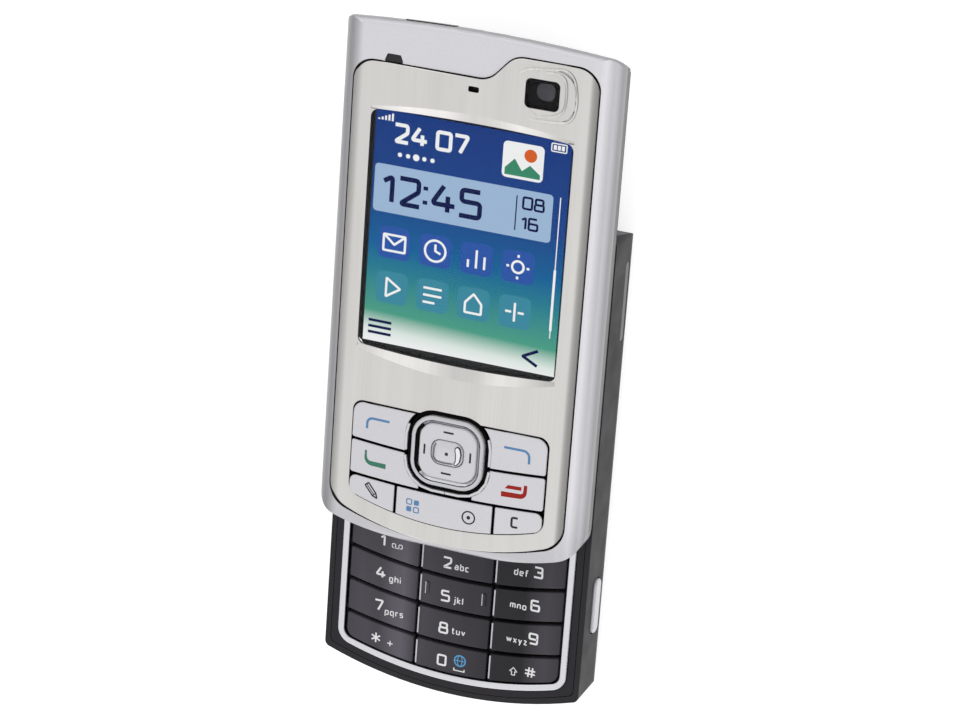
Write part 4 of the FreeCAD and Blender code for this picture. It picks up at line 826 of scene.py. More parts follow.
# Each glyph is its width and its strokes; a stroke that ends where it starts is closed
GLYPHS = {
    "0": (0.8, [[(0, 0), (0.8, 0), (0.8, 1), (0, 1), (0, 0)]]),
    "1": (0.36, [[(0, 0.78), (0.34, 1), (0.34, 0)]]),
    "2": (0.8, [[(0.02, 1), (0.78, 1), (0.78, 0.56), (0.06, 0), (0.84, 0)]]),
    "3": (0.8, [[(0.04, 1), (0.78, 1), (0.78, 0.5), (0.3, 0.52)],
                [(0.5, 0.52), (0.8, 0.52), (0.8, 0), (0, 0)]]),
    "4": (0.86, [[(0.46, 1), (0.02, 0.27), (0.92, 0.27)], [(0.64, 0.62), (0.64, 0)]]),
    "5": (0.8, [[(0.78, 1), (0.06, 1), (0.06, 0.56), (0.8, 0.56), (0.8, 0), (0, 0)]]),
    "6": (0.8, [[(0.72, 1), (0.02, 1), (0.02, 0), (0.8, 0), (0.8, 0.54), (0.04, 0.54)]]),
    "7": (0.8, [[(0, 1), (0.8, 1), (0.34, 0)]]),
    "8": (0.8, [[(0.06, 0.52), (0.74, 0.52), (0.74, 1), (0.06, 1), (0.06, 0.52)],
                [(0, 0), (0.8, 0), (0.8, 0.52), (0, 0.52), (0, 0)]]),
    "9": (0.8, [[(0.08, 0), (0.78, 0), (0.78, 1), (0, 1), (0, 0.46), (0.76, 0.46)]]),
    "*": (1.0, [[(0.5, 0), (0.5, 1)], [(0.07, 0.25), (0.93, 0.75)], [(0.07, 0.75), (0.93, 0.25)]]),
    "#": (1.0, [[(0.3, 0), (0.38, 1)], [(0.66, 0), (0.74, 1)],
                [(0, 0.66), (1, 0.66)], [(0, 0.32), (1, 0.32)]]),
    "+": (0.9, [[(0, 0.45), (0.9, 0.45)], [(0.45, 0), (0.45, 0.9)]]),
    "a": (0.5, [[(0.06, 0.66), (0.5, 0.66), (0.5, 0)], [(0.5, 0), (0, 0), (0, 0.38), (0.5, 0.38)]]),
    "b": (0.5, [[(0, 1), (0, 0), (0.5, 0), (0.5, 0.66), (0, 0.66)]]),
    "c": (0.42, [[(0.44, 0.66), (0, 0.66), (0, 0), (0.44, 0)]]),
    "d": (0.5, [[(0.5, 1), (0.5, 0), (0, 0), (0, 0.66), (0.5, 0.66)]]),
    "e": (0.5, [[(0, 0.34), (0.5, 0.34), (0.5, 0.66), (0, 0.66), (0, 0), (0.46, 0)]]),
    "f": (0.36, [[(0.42, 1), (0.12, 1), (0.12, 0)], [(0, 0.64), (0.36, 0.64)]]),
    "g": (0.5, [[(0.5, 0), (0, 0), (0, 0.66), (0.5, 0.66), (0.5, -0.28), (0.04, -0.28)]]),
    "h": (0.5, [[(0, 1), (0, 0)], [(0, 0.66), (0.5, 0.66), (0.5, 0)]]),
    "i": (0.0, [[(0, 0.66), (0, 0)], [(0, 0.86), (0, 1)]]),
    "j": (0.14, [[(0.14, 0.66), (0.14, -0.28), (-0.06, -0.28)], [(0.14, 0.86), (0.14, 1)]]),
    "k": (0.46, [[(0, 1), (0, 0)], [(0.44, 0.66), (0.04, 0.32), (0.48, 0)]]),
    "l": (0.0, [[(0, 1), (0, 0)]]),
    "m": (0.76, [[(0, 0), (0, 0.66), (0.76, 0.66), (0.76, 0)], [(0.38, 0.66), (0.38, 0)]]),
    "n": (0.48, [[(0, 0), (0, 0.66), (0.48, 0.66), (0.48, 0)]]),
    "o": (0.5, [[(0, 0), (0.5, 0), (0.5, 0.66), (0, 0.66), (0, 0)]]),
    "p": (0.5, [[(0, -0.3), (0, 0.66), (0.5, 0.66), (0.5, 0), (0, 0)]]),
    "q": (0.5, [[(0.5, -0.3), (0.5, 0.66), (0, 0.66), (0, 0), (0.5, 0)]]),
    "r": (0.32, [[(0, 0), (0, 0.66), (0.34, 0.66)]]),
    "s": (0.44, [[(0.44, 0.66), (0, 0.66), (0, 0.35), (0.44, 0.35), (0.44, 0), (0, 0)]]),
    "t": (0.36, [[(0.12, 0.92), (0.12, 0), (0.38, 0)], [(0, 0.64), (0.36, 0.64)]]),
    "u": (0.48, [[(0, 0.66), (0, 0), (0.48, 0), (0.48, 0.66)]]),
    "v": (0.48, [[(0, 0.66), (0.24, 0), (0.48, 0.66)]]),
    "w": (0.72, [[(0, 0.66), (0.18, 0), (0.36, 0.66), (0.54, 0), (0.72, 0.66)]]),
    "x": (0.46, [[(0, 0.66), (0.46, 0)], [(0, 0), (0.46, 0.66)]]),
    "y": (0.46, [[(0, 0.66), (0.23, 0)], [(0.46, 0.66), (0.12, -0.3)]]),
    "z": (0.46, [[(0, 0.66), (0.44, 0.66), (0.02, 0), (0.48, 0)]]),
    ":": (0.0, [[(0, 0.15), (0, 0.3)], [(0, 0.7), (0, 0.85)]]),
}
GLYPH_ROUND = 0.13
GLYPH_GAP = 0.26
LETTER_GAP = 0.4
# Each further stroke of a sign lies this much higher, so that no two share a face
STROKE_STEP = 0.004


def text_width(words, height):
    """How wide written words come out, in millimetres."""
    return sum(GLYPHS[c][0] + GLYPH_GAP for c in words) * height - GLYPH_GAP * height


def sign_path(points, radius):
    """The rounded path of a stroke, and whether it is closed, which it is where it ends at its start."""
    closed = len(points) > 3 and points[0] == points[-1]
    return rounded_path(points[:-1] if closed else points, radius, closed), closed


def add_words(mesh, words, left, base, height, stroke, low, high, gap=GLYPH_GAP):
    """Write words from a left end and a base line, in millimetres."""
    for sign in words:
        width, strokes = GLYPHS[sign]
        for layer, points in enumerate(strokes):
            spots = [(left + x * height, base + y * height) for x, y in points]
            path, closed = sign_path(spots, GLYPH_ROUND * height)
            step = STROKE_STEP * layer
            add_ribbon(mesh, path, stroke, lifted(low, step), lifted(high, step), closed)
        left += (width + gap) * height


# ---------------------------------------------------------------- casings

RIM_TOP = 16.9
SEAM_CENTRE = (0.0, 32.0)
SEAM_WIDTH = 0.3
# How far outside the sheet's edge the painted seam shade runs, and how much further out the frame's height is
# taken
SEAM_OFFSET = 0.05
SEAM_REACH = 1.02


class PHONE_OT_casings(bpy.types.Operator):
    """Paint the two halves, the covers and the steel faceplate"""
    bl_idname = "phone.casings"
    bl_label = "Casings"

    def execute(self, context):
        finishes = context.scene.phone_finishes
        housing = walled_plastic("soft_touch_charcoal_paint", finishes.housing, 0.12, 0.42)
        dress(housing, "rear_housing", "battery_cover", "card_door")
        front = walled_plastic("satin_charcoal_moulding", finishes.front, 0.2, 0.36)
        dress(front, "keypad_frame", "slide_plate", "cover_latch")
        dress(flake_paint_with_painted_shade("silver_flake_paint", finishes.silver, RIM_TOP), "upper_frame")
        dress(metallic_paint("silver_lever_paint", finishes.silver), "macro_lever")
        dress(brushed_steel_sheet("brushed_stainless_sheet", finishes.steel), "faceplate")
        dress(satin_topped_plating("satin_topped_chrome", finishes.trim, linear("#DADADE")), "keypad_trim")
        dress(gloss_black_plastic("black_gloss_plastic", linear("#101013")), "power_key")
        # Matt black for the surround round the ring, and for the painted shade in the faceplate's seam
        black = silicone_rubber("matt_black_surround_and_seam_shade", linear("#050506"), 0.08)
        dress(black, "nav_surround")
        self.seam(black)
        return {"FINISHED"}

    def seam(self, seam_shade):
        """Painted shade: a black strip in the seam between the steel sheet and the frame round it."""
        frame_top = surface_of("upper_frame")
        centre = Vector(SEAM_CENTRE)

        def beside(x, y):
            spot = centre + (Vector((x, y)) - centre) * SEAM_REACH
            return frame_top(spot.x, spot.y)
        edge = outline_of("faceplate", SEAM_CENTRE, 360)
        path = [spot + (spot - centre).normalized() * SEAM_OFFSET for spot in edge]
        mesh = bmesh.new()
        add_ribbon(mesh, path, SEAM_WIDTH, lifted(beside, -0.4), lifted(beside, 0.02), True)
        placed("faceplate_seam_shade", mesh, "upper_half", seam_shade)


# ---------------------------------------------------------------- keys of the upper half

HOOK_WIDTH = 0.44
HOOK_ROUND = 1.1
LEFT_HOOK = [(-15.4, 5.85), (-15.4, 7.9), (-11.2, 7.9)]
RIGHT_HOOK = [(10.35, 7.8), (15.0, 7.8), (15.05, 5.5)]
CALL_HOOK = [(-15.32, 1.75), (-15.32, -0.55), (-11.4, -0.6)]
CALL_ROUND = 1.3
CALL_WIDTHS = (0.36, 0.92)
END_HOOK = [(10.4, -0.95), (14.7, -0.75), (14.8, 1.4)]
END_ROUND = 0.9
END_WIDTHS = (0.95, 0.6)
END_BAR = [(11.0, 0.2), (14.05, 0.32), (14.05, 0.98), (11.55, 0.9)]
CLEAR_LETTER = [(13.8, -5.0), (12.72, -5.0), (12.72, -6.75), (13.85, -6.75)]
SQUARES_CENTRE = (-5.8, -6.8)
SQUARE = 0.95
SQUARE_GAP = 0.42
LIST_CENTRE = (4.75, -6.75)
LIST_RING = 1.15
LIST_DOT = 0.35
PENCIL_TOP = (-14.75, -4.55)
PENCIL_TIP = (-12.7, -6.95)
PENCIL_WIDTH = 0.85
PENCIL_NECK = 0.85
PENCIL_LINE = 0.27
PENCIL_FINE_LINE = 0.16
NAV_MARK_LENGTH = 1.85
NAV_MARK_WIDTH = 0.34
NAV_MARK_X = 4.3
NAV_MARK_Y = 3.85


def mark(name, node, body, material, strokes=(), patches=()):
    """Print strokes and filled shapes on a key's top."""
    thickness = bpy.context.scene.phone_marks.print_height / MM
    surface = surface_of(node)
    low, high = lifted(surface, -SINK), lifted(surface, thickness)
    mesh = bmesh.new()
    for layer, (path, width, closed) in enumerate(strokes):
        step = STROKE_STEP * layer
        add_ribbon(mesh, path, width, lifted(low, step), lifted(high, step), closed)
    for outline in patches:
        add_patch(mesh, outline, low, high)
    return placed(name, mesh, body, material)


class PHONE_OT_upper_keys(bpy.types.Operator):
    """Paint the upper keys and print their marks"""
    bl_idname = "phone.upper_keys"
    bl_label = "Upper keys"

    def execute(self, context):
        finishes = context.scene.phone_finishes
        silver = key_top_paint("silver_key_paint", finishes.key_silver, 0.2)
        dress(silver, "soft_key_left", "soft_key_right", "call_key", "end_key", "edit_key", "menu_key",
              "clear_key")
        dress(metallic_paint("silver_capture_paint", finishes.key_silver), "capture_key")
        blue = pad_printed_ink("blue_key_ink", finishes.soft_mark)
        green = pad_printed_ink("green_key_ink", finishes.call_mark)
        red = pad_printed_ink("red_key_ink", finishes.end_mark)
        dark = pad_printed_ink("dark_key_ink", finishes.dark_mark)
        left_hook = rounded_path(LEFT_HOOK, HOOK_ROUND)
        mark("soft_left_mark", "soft_key_left", "soft_key_left", blue, [(left_hook, HOOK_WIDTH, False)])
        right_hook = rounded_path(RIGHT_HOOK, HOOK_ROUND * 1.4)
        mark("soft_right_mark", "soft_key_right", "soft_key_right", blue, [(right_hook, HOOK_WIDTH, False)])
        self.call_mark(green)
        self.end_mark(red)
        self.pencil_mark(dark)
        self.menu_marks(blue, dark)
        letter = rounded_path(CLEAR_LETTER, 0.35)
        mark("clear_mark", "clear_key", "clear_key", dark, [(letter, 0.4, False)])
        return {"FINISHED"}

    def call_mark(self, ink):
        """A hook that widens from its upper end."""
        path = rounded_path(CALL_HOOK, CALL_ROUND)
        mark("call_mark", "call_key", "call_key", ink, [(path, tapered(path, *CALL_WIDTHS), False)])

    def end_mark(self, ink):
        """A hook that narrows towards its upper end, with a bar over it."""
        path = rounded_path(END_HOOK, END_ROUND)
        hook = (path, tapered(path, *END_WIDTHS), False)
        mark("end_mark", "end_key", "end_key", ink, [hook], [straight(*END_BAR)])

    def pencil_mark(self, ink):
        """The outline of a pencil, with a line along it and one across its neck."""
        top, tip = Vector(PENCIL_TOP), Vector(PENCIL_TIP)
        along = (tip - top).normalized()
        across = Vector((-along.y, along.x)) * PENCIL_WIDTH / 2
        neck = tip - along * PENCIL_NECK
        body = [top + across, neck + across, tip, neck - across, top - across]
        strokes = [
            (rounded_path(body, 0.12, True), PENCIL_LINE, True),
            ([top - across * 0.1 + along * 0.1, neck - across * 0.1], PENCIL_FINE_LINE, False),
            ([neck + across, neck - across], PENCIL_FINE_LINE, False)]
        mark("edit_mark", "edit_key", "edit_key", ink, strokes)

    def menu_marks(self, blue, dark):
        """Four squares, two of them filled, and a ring with a dot."""
        half = SQUARE / 2
        outlines, squares = [], []
        for column in (-1, 1):
            for row in (-1, 1):
                middle = Vector(SQUARES_CENTRE) + Vector((column, row)) * (SQUARE + SQUARE_GAP) / 2
                outline = box_path(middle.x - half, middle.y - half, middle.x + half, middle.y + half, 0.2)
                if column * row > 0:
                    squares.append(outline)
                else:
                    outlines.append((outline, 0.2, True))
        mark("menu_mark", "menu_key", "menu_key", blue, outlines, squares)
        ring = circle_path(LIST_CENTRE, LIST_RING)
        dot = circle_path(LIST_CENTRE, LIST_DOT, 12)
        mark("list_mark", "menu_key", "menu_key", dark, [(ring, 0.26, True)], [dot])


BAND_WIDTH = 0.78
RING_WIDTH = 1.35
RING_CORNER = 4.25
GROOVE_DEPTH = 0.62
# The bevel outside the satin band, its broken inner edge, and how far the groove starts below its top
BAND_BEVEL = 0.18
BAND_EDGE = 0.08
GROOVE_START = 0.1
# Painted shade: the dark line between band and groove, and the dark stretch in the groove's left side: its
# width, half its straight part and half its length
GAP_LINE_WIDTH = 0.13
GAP_WIDTH = 0.5
GAP_STRAIGHT = 3.4
GAP_REACH = 4.35
# The silver collar round the black surround: how far off it stands, its width, top, depth and corners,
# and the stretches of y that it covers on each side
COLLAR_GAP = 0.08
COLLAR_WIDTH = 0.44
COLLAR_TOP = 22.9
COLLAR_DEPTH = 0.5
COLLAR_CORNER = 5.3
COLLAR_MIDDLE_Y = 4.4
COLLAR_STEP = 0.1
COLLAR_RUNS = [(3.45, 8.5), (-3.3, 2.55)]
# Rises of the sculpted select key from its edge inwards, as (distance inwards, height)
SELECT_SLOPE = [(0.0, 22.6), (0.0, 22.92), (0.12, 23.03), (0.45, 23.16), (0.95, 23.3), (1.5, 23.35)]
SELECT_CORNER = 1.7
SELECT_DOT = 0.28
# How deep the marks on the select key reach into it
SELECT_MARK_DEPTH = 0.3
# A painted highlight in the shape of a tongue on the select key's right side, outlined in painted shade
TONGUE_HIGHLIGHT = [(1.5, 5.7), (1.95, 6.2), (2.45, 5.75), (2.68, 4.7), (2.5, 3.4), (1.9, 2.6), (1.45, 2.75),
          (1.75, 3.5), (1.72, 4.5)]
# A painted shade line along the select key's left and lower edge
SELECT_SHADE_LINE = [(-2.15, 6.0), (-2.45, 5.3), (-2.5, 3.4), (-1.9, 2.75), (-0.5, 2.6), (1.2, 2.7)]


class PHONE_OT_nav_cluster(bpy.types.Operator):
    """Finish the navigation pad and the select key"""
    bl_idname = "phone.nav_cluster"
    bl_label = "Navigation keys"

    def execute(self, context):
        finishes = context.scene.phone_finishes
        pad = metallic_paint("silver_pad_paint", finishes.key_silver, flake=0.12, edge=0.3, metal=0.5)
        dress(pad, "nav_pad")
        self.bezel(finishes)
        self.collar(finishes)
        dark = pad_printed_ink("dark_pad_ink", finishes.dark_mark)
        centre = middle_of("nav_pad")
        half = NAV_MARK_LENGTH / 2
        strokes = []
        for side in (-1, 1):
            x = centre.x + side * NAV_MARK_X
            y = centre.y + side * NAV_MARK_Y
            for ends in (((x, centre.y - half), (x, centre.y + half)), ((-half, y), (half, y))):
                strokes.append((straight(*ends), NAV_MARK_WIDTH, False))
        mark("nav_marks", "nav_pad", "nav_rocker", dark, strokes)
        self.select_cap(pad, dark)
        return {"FINISHED"}

    def collar(self, finishes):
        """A silver lip at the level of the keys that narrows the black gap beside and below the ring."""
        low, high = box_of("nav_surround")
        out = COLLAR_GAP + COLLAR_WIDTH / 2
        whole = box_path(low.x - out, low.y - out, high.x + out, high.y + out, COLLAR_CORNER)
        dense = []
        for one, two in zip(whole, whole[1:] + whole[:1]):
            steps = max(1, int((two - one).length / COLLAR_STEP))
            dense += [one.lerp(two, i / steps) for i in range(steps)]
        silver = metallic_paint("silver_collar_paint", finishes.key_silver, flake=0.12, edge=0.1, metal=0.5)
        mesh = bmesh.new()
        for start, end in COLLAR_RUNS:
            for side in (-1, 1):
                run = [p for p in dense if start <= p.y <= end and p.x * side > 0]
                run.sort(key=lambda p: math.atan2(p.x * side, COLLAR_MIDDLE_Y - p.y))
                add_ribbon(mesh, run, COLLAR_WIDTH, level(COLLAR_TOP - COLLAR_DEPTH), level(COLLAR_TOP))
        placed("nav_collar", mesh, "upper_half", silver)

    def bezel(self, finishes):
        """The ring round the pad: a satin band outside, a bright groove that slopes to the pad, and black
        strips of painted shade.
        """
        low, high = box_of("nav_ring")
        size = (high - low) / 2
        middle_y = (low.y + high.y) / 2
        band_in, groove_in = BAND_WIDTH, RING_WIDTH
        band = [(0.0, low.z), (0.0, high.z - BAND_BEVEL), (BAND_BEVEL, high.z),
                (band_in - BAND_EDGE, high.z), (band_in, high.z - BAND_EDGE), (band_in, low.z)]
        groove = [(band_in, low.z), (band_in, high.z - GROOVE_START), (groove_in, high.z - GROOVE_DEPTH),
                  (groove_in, low.z)]
        satin = metallic_paint("satin_plated_band", linear("#C9C9CD"), flake=0.2, edge=0.08)
        chrome = polished_plating("bright_plated_groove", finishes.trim)
        for name, profile, material in (("nav_band", band, satin), ("nav_groove", groove, chrome)):
            mesh = bmesh.new()
            add_frame(mesh, size.x, size.y, RING_CORNER, middle_y, profile)
            piece = placed(name, mesh, "nav_rocker", material)
            if name == "nav_band":
                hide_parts("nav_ring")
        # Painted shade: black strips between band and groove, and in the groove's left side
        gap_shade = silicone_rubber("painted_gap_shade", linear("#050506"), 0.1)
        mesh = bmesh.new()
        line = box_path(-size.x + band_in, middle_y - size.y + band_in, size.x - band_in,
                        middle_y + size.y - band_in, RING_CORNER - band_in)
        add_ribbon(mesh, line, GAP_LINE_WIDTH, level(high.z - 0.3), level(high.z - 0.04), True)
        x = -size.x + (band_in + groove_in) / 2 + 0.02
        gap = rounded_path([(x + 0.9, middle_y - GAP_REACH), (x, middle_y - GAP_STRAIGHT),
                            (x, middle_y + GAP_STRAIGHT), (x + 0.9, middle_y + GAP_REACH)], 1.2)
        add_ribbon(mesh, gap, GAP_WIDTH, level(high.z - 0.5), level(high.z - 0.12))
        placed("nav_gap_shade", mesh, "nav_rocker", gap_shade)

    def select_cap(self, paint, dark):
        """The select key as a soft cushion, with a tongue of painted highlight on its right side and lines of
        painted shade.
        """
        low, high = box_of("select_key")
        size, centre = (high - low) / 2, (high + low) / 2
        mesh = bmesh.new()
        rings = add_frame(mesh, size.x, size.y, SELECT_CORNER, centre.y, SELECT_SLOPE, shut=False)
        mesh.faces.new(rings[-1])
        mesh.faces.new(rings[0][::-1])
        cap = placed("select_cap", mesh, "select_key", paint, smooth=True)
        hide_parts("select_key")
        top = SELECT_SLOPE[-1][1]
        line = rounded_path(SELECT_SHADE_LINE, 0.8)
        tongue = rounded_path(TONGUE_HIGHLIGHT, 0.5, True)
        dot = box_path(centre.x - SELECT_DOT, centre.y - SELECT_DOT, centre.x + SELECT_DOT,
                       centre.y + SELECT_DOT, 0.08)
        # Painted highlight and painted shade: a pale patch for the tongue-shaped facet, and lines where edges
        # look dark
        pale = metallic_paint("painted_flank_highlight", linear("#F0EFF3"))
        grey = pad_printed_ink("painted_edge_shade_line", linear("#77757A"))
        for name, material, strokes, patches, height in (
                ("select_tongue", pale, [], [tongue], top + 0.015),
                ("select_tongue_line", dark, [(tongue, 0.17, True)], [], top + 0.025),
                ("select_line", grey, [(line, 0.16, False)], [], top + 0.01),
                ("select_mark", dark, [], [dot], top + 0.02)):
            mesh = bmesh.new()
            for path, width, closed in strokes:
                add_ribbon(mesh, path, width, level(top - SELECT_MARK_DEPTH), level(height), closed)
            for outline in patches:
                add_patch(mesh, outline, level(top - SELECT_MARK_DEPTH), level(height))
            placed(name, mesh, "select_key", material)


# ---------------------------------------------------------------- number keys

# Key, digit, letters; where the digit's lower left corner and the letters' base line start
LEGENDS = [
    ("key_1", "1", (-14.85, -19.85), "", None),
    ("key_2", "2", (-2.7, -21.4), "abc", (-0.4, -21.4)),
    ("key_3", "3", (14.6, -19.5), "def", (10.9, -19.8)),
    ("key_4", "4", (-15.4, -26.15), "ghi", (-12.75, -26.6)),
    ("key_5", "5", (-2.65, -27.95), "jkl", (-0.1, -27.95)),
    ("key_6", "6", (14.5, -26.0), "mno", (10.6, -26.25)),
    ("key_7", "7", (-15.25, -32.65), "pqrs", (-13.2, -33.2)),
    ("key_8", "8", (-2.55, -34.25), "tuv", (-0.1, -34.0)),
    ("key_9", "9", (14.65, -32.45), "wxyz", (10.4, -33.0)),
    ("key_star", "*", (-15.65, -39.2), "+", (-12.4, -39.35)),
    ("key_0", "0", (-2.45, -40.65), "", None),
    ("key_hash", "#", (14.35, -39.1), "", None),
]
LOCATING_BAR_X = 5.45
LOCATING_BAR_Y = -26.1
LOCATING_BAR_LENGTH = 2.3
# A bar and the painted highlight on its left edge: how far to the right it lies, its width and its rise
BAR_BODY = (0.15, 0.55, 0.2)
BAR_HIGHLIGHT = (-0.22, 0.2, 0.17)
EDGE_HIGHLIGHT_KEYS = ("key_2", "key_5", "key_8", "key_0", "key_3", "key_6", "key_9", "key_hash")
# The painted edge highlights: their width, how much shorter they are at each end, their foot and their rise
EDGE_WIDTH = 0.27
EDGE_SHORTER = 0.3
EDGE_FOOT = 12.9
EDGE_RISE = 0.03
# How wide the strokes of * and # are, as a share of a digit's
SIGN_SHARE = 0.78
# The signs on three of the keys
SIGN_WIDTH = 0.17
REELS_X = (-12.35, -11.05)
REELS_LINE = [(-12.3, -19.87), (-11.1, -19.87)]
SHIFT_ARROW = [(11.8, -39.4), (12.4, -39.4), (12.4, -38.7), (12.8, -38.7), (12.1, -37.95), (11.4, -38.7),
               (11.8, -38.7)]
SPACE_SIGN = [(0.75, -40.65), (0.75, -41.1), (2.75, -41.1), (2.75, -40.65)]
GLOBE_CENTRE = (1.8, -39.1)
GLOBE_RADIUS = 1.05


class PHONE_OT_number_keys(bpy.types.Operator):
    """Finish the number keys and print their digits and letters"""
    bl_idname = "phone.number_keys"
    bl_label = "Number keys"

    def execute(self, context):
        finishes = context.scene.phone_finishes
        marks = context.scene.phone_marks
        gloss = lacquered_key_plastic("lacquered_key_plastic", finishes.number_key)
        white = pad_printed_ink("white_key_ink", finishes.legend)
        blue = pad_printed_ink("sky_blue_key_ink", linear("#5E9FCF"))
        for node, digit, corner, letters, start in LEGENDS:
            dress(gloss, node)
            surface = surface_of(node)
            low, high = lifted(surface, -SINK), lifted(surface, marks.print_height / MM)
            mesh = bmesh.new()
            stroke = marks.digit_stroke / MM * (SIGN_SHARE if digit in "*#" else 1.0)
            add_words(mesh, digit, *corner, marks.digit_height / MM, stroke, low, high)
            if letters:
                add_words(mesh, letters, *start, marks.letter_height / MM, marks.letter_stroke / MM,
                          low, high, LETTER_GAP)
            if node == "key_1":
                self.reels(mesh, low, high)
            if node == "key_hash":
                self.arrow(mesh, low, high)
            if node == "key_0":
                add_ribbon(mesh, straight(*SPACE_SIGN), 0.2, low, high)
            placed("legend_" + node, mesh, node, white)
        self.globe(blue)
        # Painted highlight: pale strips along key edges
        edge = gloss_black_plastic("painted_key_edge_highlight", linear("#C9C7CD"))
        self.locating_bars(gloss, edge)
        self.edges(edge)
        return {"FINISHED"}

    def edges(self, material):
        """Pale strips of painted highlight along the left edges of the two right-hand columns, drawn a little
        wider than the edges are.
        """
        for node in EDGE_HIGHLIGHT_KEYS:
            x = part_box(node)[0].x / MM + EDGE_WIDTH / 2 + 0.02
            low, high = edge_span(node, x)
            surface = surface_of(node)
            path = straight((x, low + EDGE_SHORTER), (x, high - EDGE_SHORTER))
            mesh = bmesh.new()
            add_ribbon(mesh, path, EDGE_WIDTH, level(EDGE_FOOT),
                       lambda at, y: surface(at + 0.5, y) + EDGE_RISE)
            placed("edge_" + node, mesh, node, material)

    def reels(self, mesh, low, high):
        """Two small reels joined by a line, for the mailbox."""
        for x in REELS_X:
            add_ribbon(mesh, box_path(x - 0.32, -19.85, x + 0.32, -19.1, 0.2), SIGN_WIDTH, low, high, True)
        add_ribbon(mesh, straight(*REELS_LINE), SIGN_WIDTH, low, high)

    def arrow(self, mesh, low, high):
        """The outline of an arrow that points up, for capital letters."""
        add_ribbon(mesh, rounded_path(SHIFT_ARROW, 0.02, True), SIGN_WIDTH, low, high, True)

    def globe(self, ink):
        """A circle with an upright oval in it and a line across."""
        surface = surface_of("key_0")
        low, high = lifted(surface, -SINK), lifted(surface, 0.02)
        x, y = GLOBE_CENTRE
        oval = circle_path(GLOBE_CENTRE, GLOBE_RADIUS, 20, 0.42)
        line = straight((x - 1.0, y), (x + 1.0, y))
        mesh = bmesh.new()
        add_ribbon(mesh, circle_path(GLOBE_CENTRE, GLOBE_RADIUS), 0.24, low, high, True)
        add_ribbon(mesh, oval, 0.16, lifted(low, 0.001), lifted(high, 0.001), True)
        add_ribbon(mesh, line, 0.16, lifted(low, 0.002), lifted(high, 0.002))
        placed("globe_mark", mesh, "key_0", ink)

    def locating_bars(self, material, edge):
        """The two raised bars by which a finger finds the middle key, each with a painted highlight along its
        left edge.
        """
        surface = surface_of("key_5")
        half = LOCATING_BAR_LENGTH / 2
        for name, paint, (shift, width, rise) in (("locating_bars", material, BAR_BODY),
                                                  ("locating_bar_highlights", edge, BAR_HIGHLIGHT)):
            mesh = bmesh.new()
            for x in (-LOCATING_BAR_X + shift, LOCATING_BAR_X + shift):
                path = straight((x, LOCATING_BAR_Y - half), (x, LOCATING_BAR_Y + half))
                add_ribbon(mesh, path, width, lifted(surface, -0.05), lifted(surface, rise))
            placed(name, mesh, "key_5", paint)


# ---------------------------------------------------------------- screen

TILE = 5.8
TILE_COLUMNS = (-15.9, -8.3, -0.7, 6.9)
TILE_ROWS = (37.4, 29.2)
CLOCK_BAND = (-17.4, 45.6, 15.2, 54.2)
CLOCK_RULE = [(8.7, 46.8), (8.7, 53.0)]
PICTURE_CARD = (5.6, 55.9, 13.0, 62.3)
SUN_CENTRE = (10.6, 60.3)
HILL = [(6.1, 56.4), (12.5, 56.4), (12.5, 57.2), (10.6, 58.6), (9.2, 57.4), (7.8, 59.4), (6.1, 57.6)]
BATTERY_SIGN = (14.2, 61.9, 16.9, 63.3)
SCROLL_RAIL = [(16.5, 28.6), (16.5, 54.0)]
SCROLL_THUMB = [(16.5, 30.0), (16.5, 41.0)]
BACK_SIGN = [(14.6, 25.9), (11.9, 24.5), (14.6, 23.1)]
# The tiles' signs by column and row, from a tile's lower left corner; a line that ends where it starts
# is closed
ICON_WIDTH = 0.42
ICON_MIDDLE = 2.9
ICON_CIRCLES = {(1, 0): 1.9, (3, 0): 1.05}
ICON_LINES = {
    (0, 0): [[(0.9, 1.4), (4.9, 1.4), (4.9, 4.3), (0.9, 4.3), (0.9, 1.4)],
             [(0.9, 4.3), (2.9, 2.6), (4.9, 4.3)]],
    (1, 0): [[(2.9, 4.1), (2.9, 2.9), (3.9, 2.5)]],
    (2, 0): [[(1.4, 1.2), (1.4, 2.6)], [(2.9, 1.2), (2.9, 4.5)], [(4.4, 1.2), (4.4, 3.5)]],
    (3, 0): [[(2.9, 4.6), (2.9, 5.1)], [(2.9, 1.2), (2.9, 0.7)], [(0.8, 2.9), (1.3, 2.9)],
             [(4.5, 2.9), (5.0, 2.9)]],
    (0, 1): [[(1.9, 1.2), (4.5, 2.9), (1.9, 4.6), (1.9, 1.2)]],
    (1, 1): [[(1.2, 4.2), (4.6, 4.2)], [(1.2, 2.9), (4.6, 2.9)], [(1.2, 1.6), (3.4, 1.6)]],
    (2, 1): [[(1.4, 1.2), (4.4, 1.2), (4.4, 3.0), (2.9, 4.7), (1.4, 3.0), (1.4, 1.2)]],
    (3, 1): [[(2.9, 1.2), (2.9, 4.6)], [(1.2, 2.9), (2.3, 2.9)], [(3.5, 2.9), (4.6, 2.9)]],
}


